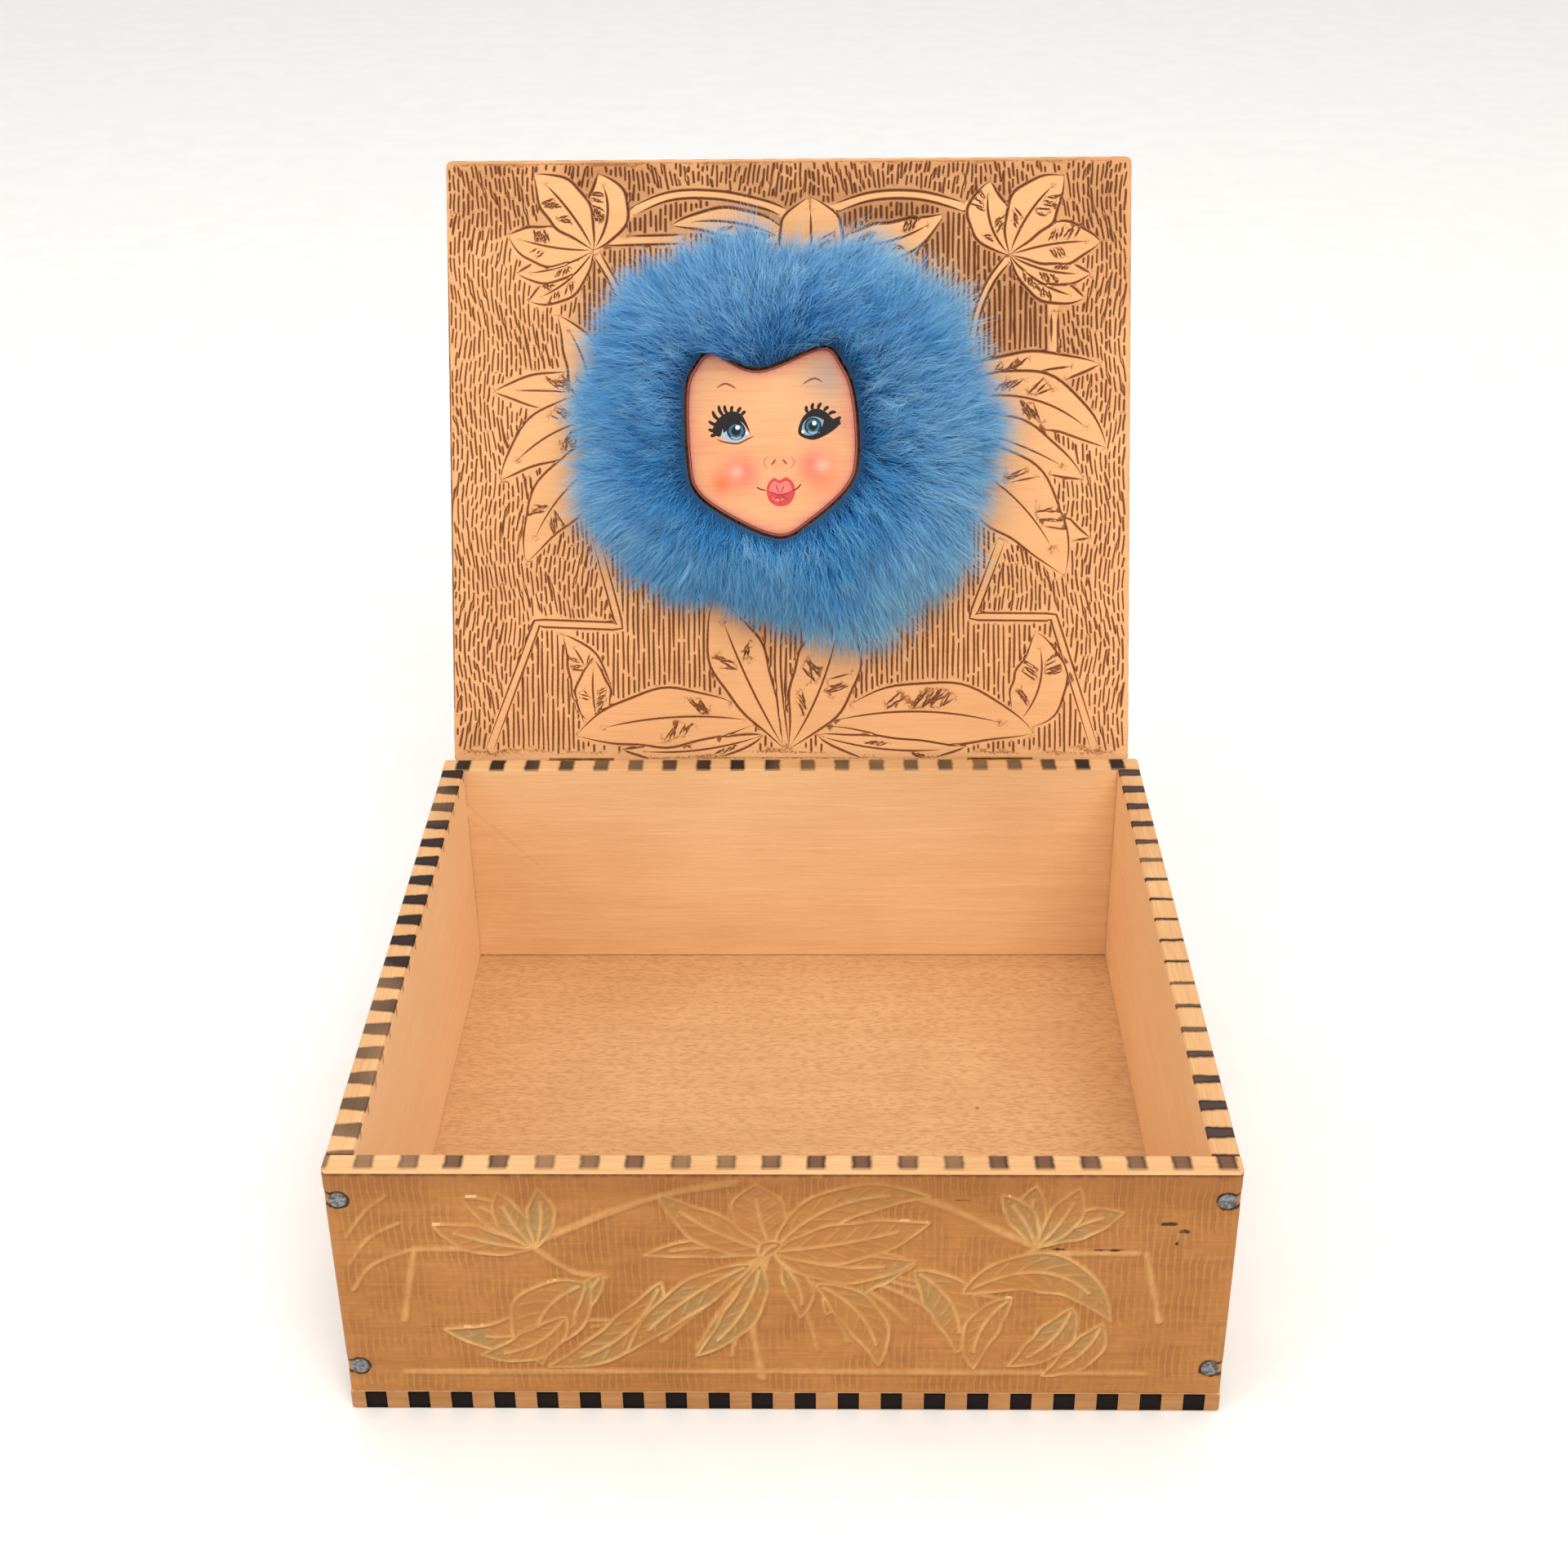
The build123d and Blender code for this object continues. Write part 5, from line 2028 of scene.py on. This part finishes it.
@dataclass
class FurRing:
    """The ring of dyed fur: a dense underwool on the hide, and long hairs that grow out through it.

    Attributes:
        panel: The lid's inner face.
        centre: The ring's middle on the lid, which is the face's.
        inner: The outline that the fur leaves clear, round the same middle.
        hairs: How many hairs there are.
        pieces: How many pieces the hairs are split into, round the ring.
        clumps: How many locks the hairs gather into.
        thickness: A hair's width at its root.
        seed: Fixes how the hairs grow.
        fur: The hairs' finish.
        wool: The underwool's finish, darkened as painted shade deep inside the pile.
    """

    panel: Panel
    centre: Point
    inner: Array
    hairs: int = 54000
    pieces: int = 10
    clumps: int = 4200
    thickness: float = 0.18
    seed: int = 41
    fur: DyedFur = DyedFur("sheepskin pile, dyed blue", 0.62)
    # painted shade: the underwool is darker than the hairs' roots, standing for the shade deep inside the
    # pile
    wool: DyedFur = DyedFur(
        "sheepskin underwool, dyed blue, darkened as painted shade", 0.8, root="#0f4470", middle="#185a8f", tip="#185a8f"
    )

    # where the tips of the outermost hairs end, round the middle
    REACH = [
        (-60.0, 6.0), (-60.0, -14.0), (-50.0, -34.0), (-24.0, -46.5), (-2.0, -51.0), (28.0, -60.5),
        (50.0, -45.0), (61.0, -32.0), (70.0, -4.0), (68.0, 18.0), (58.0, 42.0), (36.0, 60.0), (6.0, 64.5),
        (-21.0, 64.0), (-47.0, 47.0), (-57.0, 28.0),
    ]

    def polar(self, outline: Array, turn: Array) -> Array:
        """Returns how far an outline lies from the middle in each direction."""
        angles = np.arctan2(outline[:, 1], outline[:, 0])
        order = np.argsort(angles)
        return np.interp(turn, angles[order], np.hypot(*outline.T)[order], period=2 * pi)

    def underwool(self) -> Object:
        """Models the underwool, a low lumpy ring over the hide, in place."""
        obj = named(
            added(
                bpy.ops.mesh.primitive_torus_add, major_segments=180, minor_segments=28, major_radius=2.0,
                minor_radius=1.0,
            ),
            "fur_underwool",
        )
        points = points_of(obj)
        turn = np.arctan2(points[:, 1], points[:, 0])
        across = (np.hypot(points[:, 0], points[:, 1]) - 1) / 2
        low = self.polar(self.inner, turn) + 0.5
        high = self.polar(np.array(self.REACH), turn) * 0.78
        radius = low + (high - low) * across
        lumps = (
            np.sin(turn * 17 + across * 9) + np.sin(turn * 29 - across * 13 + 2)
            + np.sin(turn * 7 + across * 21)
        )
        height = 1.3 + (points[:, 2] + 1) / 2 * (8.0 + 0.5 * lumps)
        move_points(
            obj, np.stack([radius * np.cos(turn), radius * np.sin(turn), height], axis=1) + (*self.centre, 0)
        )
        uv = obj.data.uv_layers.new(name="hair")
        flat = np.tile((0.15, 0.12), (len(obj.data.loops), 1)).astype(np.float32)
        uv.data.foreach_set("uv", flat.ravel())
        coat(obj, self.wool)
        only(obj)
        bpy.ops.object.shade_smooth()
        return self.panel.place(obj)

    def grow(self) -> tuple[Array, Array, Array]:
        """Works out the line of every hair.

        Returns:
            Five points along each hair, its direction round the ring, and how pale it is.
        """
        rng = np.random.default_rng(self.seed)
        n = self.hairs
        turn = rng.uniform(-pi, pi, n)
        reach = self.polar(np.array(self.REACH), turn)
        reach = (
            reach * (
                1 + 0.03 * np.sin(11 * turn + 1) + 0.025 * np.sin(23 * turn) + 0.02 * np.sin(37 * turn + 2)
            )
        )
        low = self.polar(self.inner, turn) + 0.35
        high = reach * 0.76
        share = rng.uniform(0, 1, n)**0.85
        radius = np.sqrt(low**2 + share * (high**2 - low**2))
        out = (radius - low) / (high - low)
        root = np.stack([radius * np.cos(turn), radius * np.sin(turn), np.full(n, 1.6)], axis=1)
        matted = 0.3 * np.sin(5 * turn + 6 * out + 1.0) * np.sin(9 * out + 2 * turn)
        swirl = (
            0.22 * np.sin(3 * turn + 0.7) + 0.16 * np.sin(7 * turn + 2.1) + matted + rng.normal(0, 0.36, n)
        )
        way = turn + swirl
        stray = np.clip(0.06 + out, 0.06, 0.24)
        rise = np.radians(np.interp(out, [0, 0.1, 0.35, 1], [88, 78, 60, 26])) + rng.normal(0, 1, n) * stray
        fall = np.radians(np.interp(out, [0, 0.1, 0.35, 1], [46, 38, 24, 2])) + rng.normal(0, 1, n) * stray
        length = np.interp(out, [0, 0.5, 1], [22, 23, 19]) * reach / 62 * rng.uniform(0.62, 1.12, n)
        length *= np.where(rng.uniform(0, 1, n) < 0.05, 1.22, 1.0)
        flat = np.stack([np.cos(way), np.sin(way)], axis=1)
        first = np.column_stack([flat * np.cos(rise)[:, None], np.sin(rise)])
        last = np.column_stack([flat * np.cos(fall)[:, None], np.sin(fall)])
        wave = rng.uniform(0, 2 * pi, (n, 2))
        lines = []
        for t in np.linspace(0, 1, 5):
            point = root + length[:, None] * (first * t + (last - first) * t * t / 2)
            point[:, 1] -= 2.4 * t * t
            crimp = 1.25 * t**0.8 * np.sin(wave + 9 * t)
            lines.append(point + np.column_stack([crimp, -crimp[:, :1]]))
        lines = np.stack(lines, axis=1)
        mine = self.gather(lines, rng)
        lines[:, :, 2] = np.maximum(lines[:, :, 2], 0.5)
        # painted light and shadow: outer hairs to the upper right are paler, hairs at the lower left darker
        side = (
            0.22 * np.cos(turn - 0.5) * out - 0.2 * np.exp(-((turn + 2.1) / 0.5)**2)
            + 0.2 * np.sin(3 * turn + 5 * out)
        )
        # painted shade: the last term darkens hairs near the face, which lie in the ring's shade
        pale = rng.normal(0.4, 0.13, n) + rng.normal(0, 0.3, n)[mine] + side + 0.55 * (out - 0.45)
        pale = np.clip(pale, 0, 1)
        return lines, turn, pale

    def gather(self, lines: Array, rng: np.random.Generator) -> Array:
        """Draws the hairs into soft locks, more so towards their tips, and returns each one's leader."""
        leaders = rng.choice(len(lines), self.clumps, replace=False)
        tree = KDTree(self.clumps)
        for i, hair in enumerate(leaders):
            tree.insert(lines[hair, 0] * (1, 1, 0) + lines[hair, 4] * 0.3, i)
        tree.balance()
        probes = lines[:, 0] * (1, 1, 0) + lines[:, 4] * 0.3
        mine = leaders[[tree.find(p)[1] for p in probes.tolist()]]
        hold = rng.uniform(0.1, 0.7, len(lines))[mine]
        for k, t in enumerate(np.linspace(0, 1, 5)):
            target = lines[mine, k]
            pull = (hold * t**1.4)[:, None]
            lines[:, k] += (target - lines[:, k]) * pull
        return mine

    def build(self) -> list[Object]:
        """Models all the hairs and returns them in pieces, in place."""
        lines, turn, pale = self.grow()
        sector = ((turn + pi) / (2 * pi) * self.pieces).astype(int) % self.pieces
        return [self.piece(f"fur_{k + 1}", lines[sector == k], pale[sector == k]) for k in range(self.pieces)]

    def piece(self, name: str, lines: Array, pale: Array) -> Object:
        """Models some of the hairs as three-sided tapered bristles with closed roots and pointed tips.

        Args:
            name: The piece's name.
            lines: Five points along each hair.
            pale: How pale each hair is.

        Returns:
            The piece, in place.
        """
        n, rings = len(lines), 4
        way = np.gradient(lines, axis=1)
        way /= np.linalg.norm(way, axis=2)[..., None]
        side = np.cross(way, (0.31, 0.17, 0.93))
        side /= np.maximum(np.linalg.norm(side, axis=2), 1e-06)[..., None]
        over = np.cross(way, side)
        taper = np.array([1.0, 0.9, 0.7, 0.45]) * self.thickness / 2
        corners = np.empty((n, rings * 3 + 1, 3))
        for k in range(rings):
            for j in range(3):
                a = 2 * pi * j / 3
                corners[:, k * 3 + j] = lines[:, k] + (side[:, k] * cos(a) + over[:, k] * sin(a)) * taper[k]
        corners[:, -1] = lines[:, 4]
        faces = [(0, 2, 1)]
        for k in range(rings - 1):
            for j in range(3):
                a, b, c, d = k * 3 + j, k * 3 + (j + 1) % 3, (k + 1) * 3 + (j + 1) % 3, (k + 1) * 3 + j
                faces += [(a, b, c), (a, c, d)]
        for j in range(3):
            faces.append(((rings - 1) * 3 + j, (rings - 1) * 3 + (j + 1) % 3, rings * 3))
        one = np.array(faces)
        every = (one[None] + (np.arange(n) * (rings * 3 + 1))[:, None, None]).reshape(-1, 3)
        mesh = bpy.data.meshes.new(name)
        mesh.vertices.add(corners.shape[0] * corners.shape[1])
        mesh.vertices.foreach_set(
            "co", (corners.reshape(-1, 3) + (*self.centre, 0)).astype(np.float32).ravel()
        )
        mesh.loops.add(every.size)
        mesh.loops.foreach_set("vertex_index", every.astype(np.int32).ravel())
        mesh.polygons.add(len(every))
        mesh.polygons.foreach_set("loop_start", np.arange(0, every.size, 3, dtype=np.int32))
        mesh.update(calc_edges=True)
        uv = mesh.uv_layers.new(name="hair")
        height = np.minimum(one // 3, rings) / rings
        across = np.repeat(pale, one.size)
        along = np.tile(height.ravel(), n)
        uv.data.foreach_set("uv", np.stack([across, along], axis=1).astype(np.float32).ravel())
        obj = bpy.data.objects.new(name, mesh)
        bpy.context.scene.collection.objects.link(obj)
        coat(obj, self.fur)
        mesh.polygons.foreach_set("use_smooth", np.ones(len(every), bool))
        return self.panel.place(obj)


@dataclass
class Lid:
    """Everything that swings on the hinges: the board, the doll face and its fur."""

    def panel(self) -> Panel:
        """Works out the lid's inner face from the hinge and how far the lid leans back."""
        hinge = frame["joints"][0]
        lean = radians(hinge["range_deg"][1] - 90)
        up = Vector((0, sin(lean), cos(lean)))
        out = Vector((0, -cos(lean), sin(lean)))
        corners = [Vector(v.co) for v in frame["nodes"]["lid_board"].data.vertices]
        axis = Vector(hinge["pos_m"])
        face = max((c - axis).dot(out) for c in corners)
        return Panel(axis + out * face, Vector((1, 0, 0)), up)

    def build(self) -> None:
        """Builds every piece of the lid."""
        panel = self.panel()
        inverse = panel.matrix().inverted()
        spread = np.array([tuple(inverse @ v.co) for v in frame["nodes"]["lid_board"].data.vertices])
        low, high = spread.min(0), spread.max(0)
        board_panel = Panel(panel.origin + panel.up * low[1] * MM, panel.right, panel.up)
        notches = []
        for leaf in ("left_hinge_lid_leaf", "right_hinge_lid_leaf"):
            start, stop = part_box(leaf)
            notches.append(((start.x + stop.x) / 2 / MM, (stop.x - start.x) / MM + 0.4))
        board = BurnedLid(board_panel, high[0] - low[0], high[1] - low[1], high[2] - low[2], notches)
        settle(board.build(), "lid", "basswood", "lid_board")
        plaque = np.array([tuple(inverse @ v.co) for v in frame["nodes"]["face_plaque"].data.vertices])
        middle = (plaque.min(0) + plaque.max(0)) / 2
        outline = smooth_line(DollFace.OUTLINE, 9, closed=True)
        centre = tuple(middle[:2] - (outline.min(0) + outline.max(0)) / 2)
        face = DollFace(panel, centre, plaque[:, 2].max())
        settle(face.build(), "lid", "painted_wood", "face_plaque")
        ring = FurRing(panel, centre, face.outline(-0.1))
        settle(ring.underwool(), "lid", "dyed_fur", "fur_pile")
        for piece in ring.build():
            settle(piece, "lid", "dyed_fur")


# ---------------------------------------------------------------- hardware that the CAD already has right


def dress_hardware() -> None:
    """Gives the CAD's own hinges, pins, tacks, hide and bottom nails their finishes."""
    brass = MetalWork("hinge brass, aged", 0.38, bright="#b8924a", tarnish="#6d5228", spot=2.5).make()
    wire = MetalWork("hinge pin wire, dull", 0.35, bright="#8f8a82", tarnish="#55504a").make()
    nail = MetalWork("wire nail steel, rusted", 0.45).make()
    hide = HideLeather("sheepskin hide, flesh side", 0.85).make()
    for name, node in frame["nodes"].items():
        finish = None
        if "hinge" in name:
            finish = wire if "pin" in name else brass
        elif name == "bottom_nails":
            finish = nail
        elif name == "fur_hide":
            finish = hide
        if finish:
            node.data.materials.clear()
            node.data.materials.append(finish)
            LOG.info("%s: finished as %s", name, finish.name)


# ---------------------------------------------------------------- studio


@dataclass
class Studio:
    """The pale floor, the soft lights and the camera.

    Attributes:
        camera: The camera's place, in metres.
        pitch: How far it looks down, in degrees.
        yaw: How far it looks to the right, in degrees.
        roll: How far it leans, in degrees.
        lens: Its focal length, in millimetres on a 36 mm sensor.
        shift: Its vertical shift, as a share of the picture's width.
    """

    camera: Triple = (0.0096, -0.4466, 0.3938)
    pitch: float = 26.61
    yaw: float = -1.16
    roll: float = -0.71
    lens: float = 48.43
    shift: float = -0.12

    def place_camera(self) -> None:
        """Sets the camera up."""
        data = bpy.data.cameras.new("camera")
        data.lens, data.sensor_width, data.shift_y = self.lens, 36.0, self.shift
        data.clip_start = 0.01
        obj = bpy.data.objects.new("camera", data)
        bpy.context.scene.collection.objects.link(obj)
        yaw, pitch, roll = radians(self.yaw), radians(self.pitch), radians(self.roll)
        forward = Vector((sin(yaw) * cos(pitch), cos(yaw) * cos(pitch), -sin(pitch)))
        right = Vector((cos(yaw), -sin(yaw), 0))
        up = right.cross(forward)
        right, up = right * cos(roll) + up * sin(roll), up * cos(roll) - right * sin(roll)
        turn = Matrix((right, up, -forward)).transposed()
        obj.matrix_world = Matrix.Translation(self.camera) @ turn.to_4x4()
        bpy.context.scene.camera = obj

    def light(self, name: str, place: tuple, size: float, power: float, colour: str) -> None:
        """Adds one soft light that faces the object."""
        data = bpy.data.lights.new(name, "AREA")
        data.shape, data.size, data.energy = "DISK", size, power
        data.color = linear(colour)[:3]
        obj = bpy.data.objects.new(name, data)
        obj.location = place
        aim = Vector((0, 0, 0.1)) - Vector(place)
        obj.rotation_euler = aim.to_track_quat("-Z", "Y").to_euler()
        bpy.context.scene.collection.objects.link(obj)

    def build(self) -> None:
        """Builds the studio."""
        scene = bpy.context.scene
        scene.view_settings.view_transform = "Standard"
        world = bpy.data.worlds.new("studio")
        world.use_nodes = True
        world.node_tree.nodes["Background"].inputs["Color"].default_value = linear("#fbfaf8")
        world.node_tree.nodes["Background"].inputs["Strength"].default_value = 0.86
        scene.world = world
        self.light("key light", (0.4, -1.0, 1.3), 0.9, 10.5, "#fffaf2")
        self.light("fill light", (-1.0, -0.6, 0.9), 1.0, 3.5, "#fbfdff")
        self.light("top light", (0.0, 0.2, 1.5), 1.2, 5.0, "#ffffff")
        floor = named(
            added(bpy.ops.mesh.primitive_plane_add, size=6, location=(0, 0, -0.0002)), "studio_floor"
        )
        coat(floor, MattPaper("studio floor, matt paper", 0.9, 0.5))
        self.place_camera()


def main() -> None:
    """Builds the box, the lid and the studio, and reports each piece."""
    logging.basicConfig(level=logging.INFO, format="%(name)s: %(message)s")
    Studio().build()
    BoxBody().build()
    Lid().build()
    dress_hardware()
    bpy.context.view_layer.update()


if __name__ == "__main__":
    main()
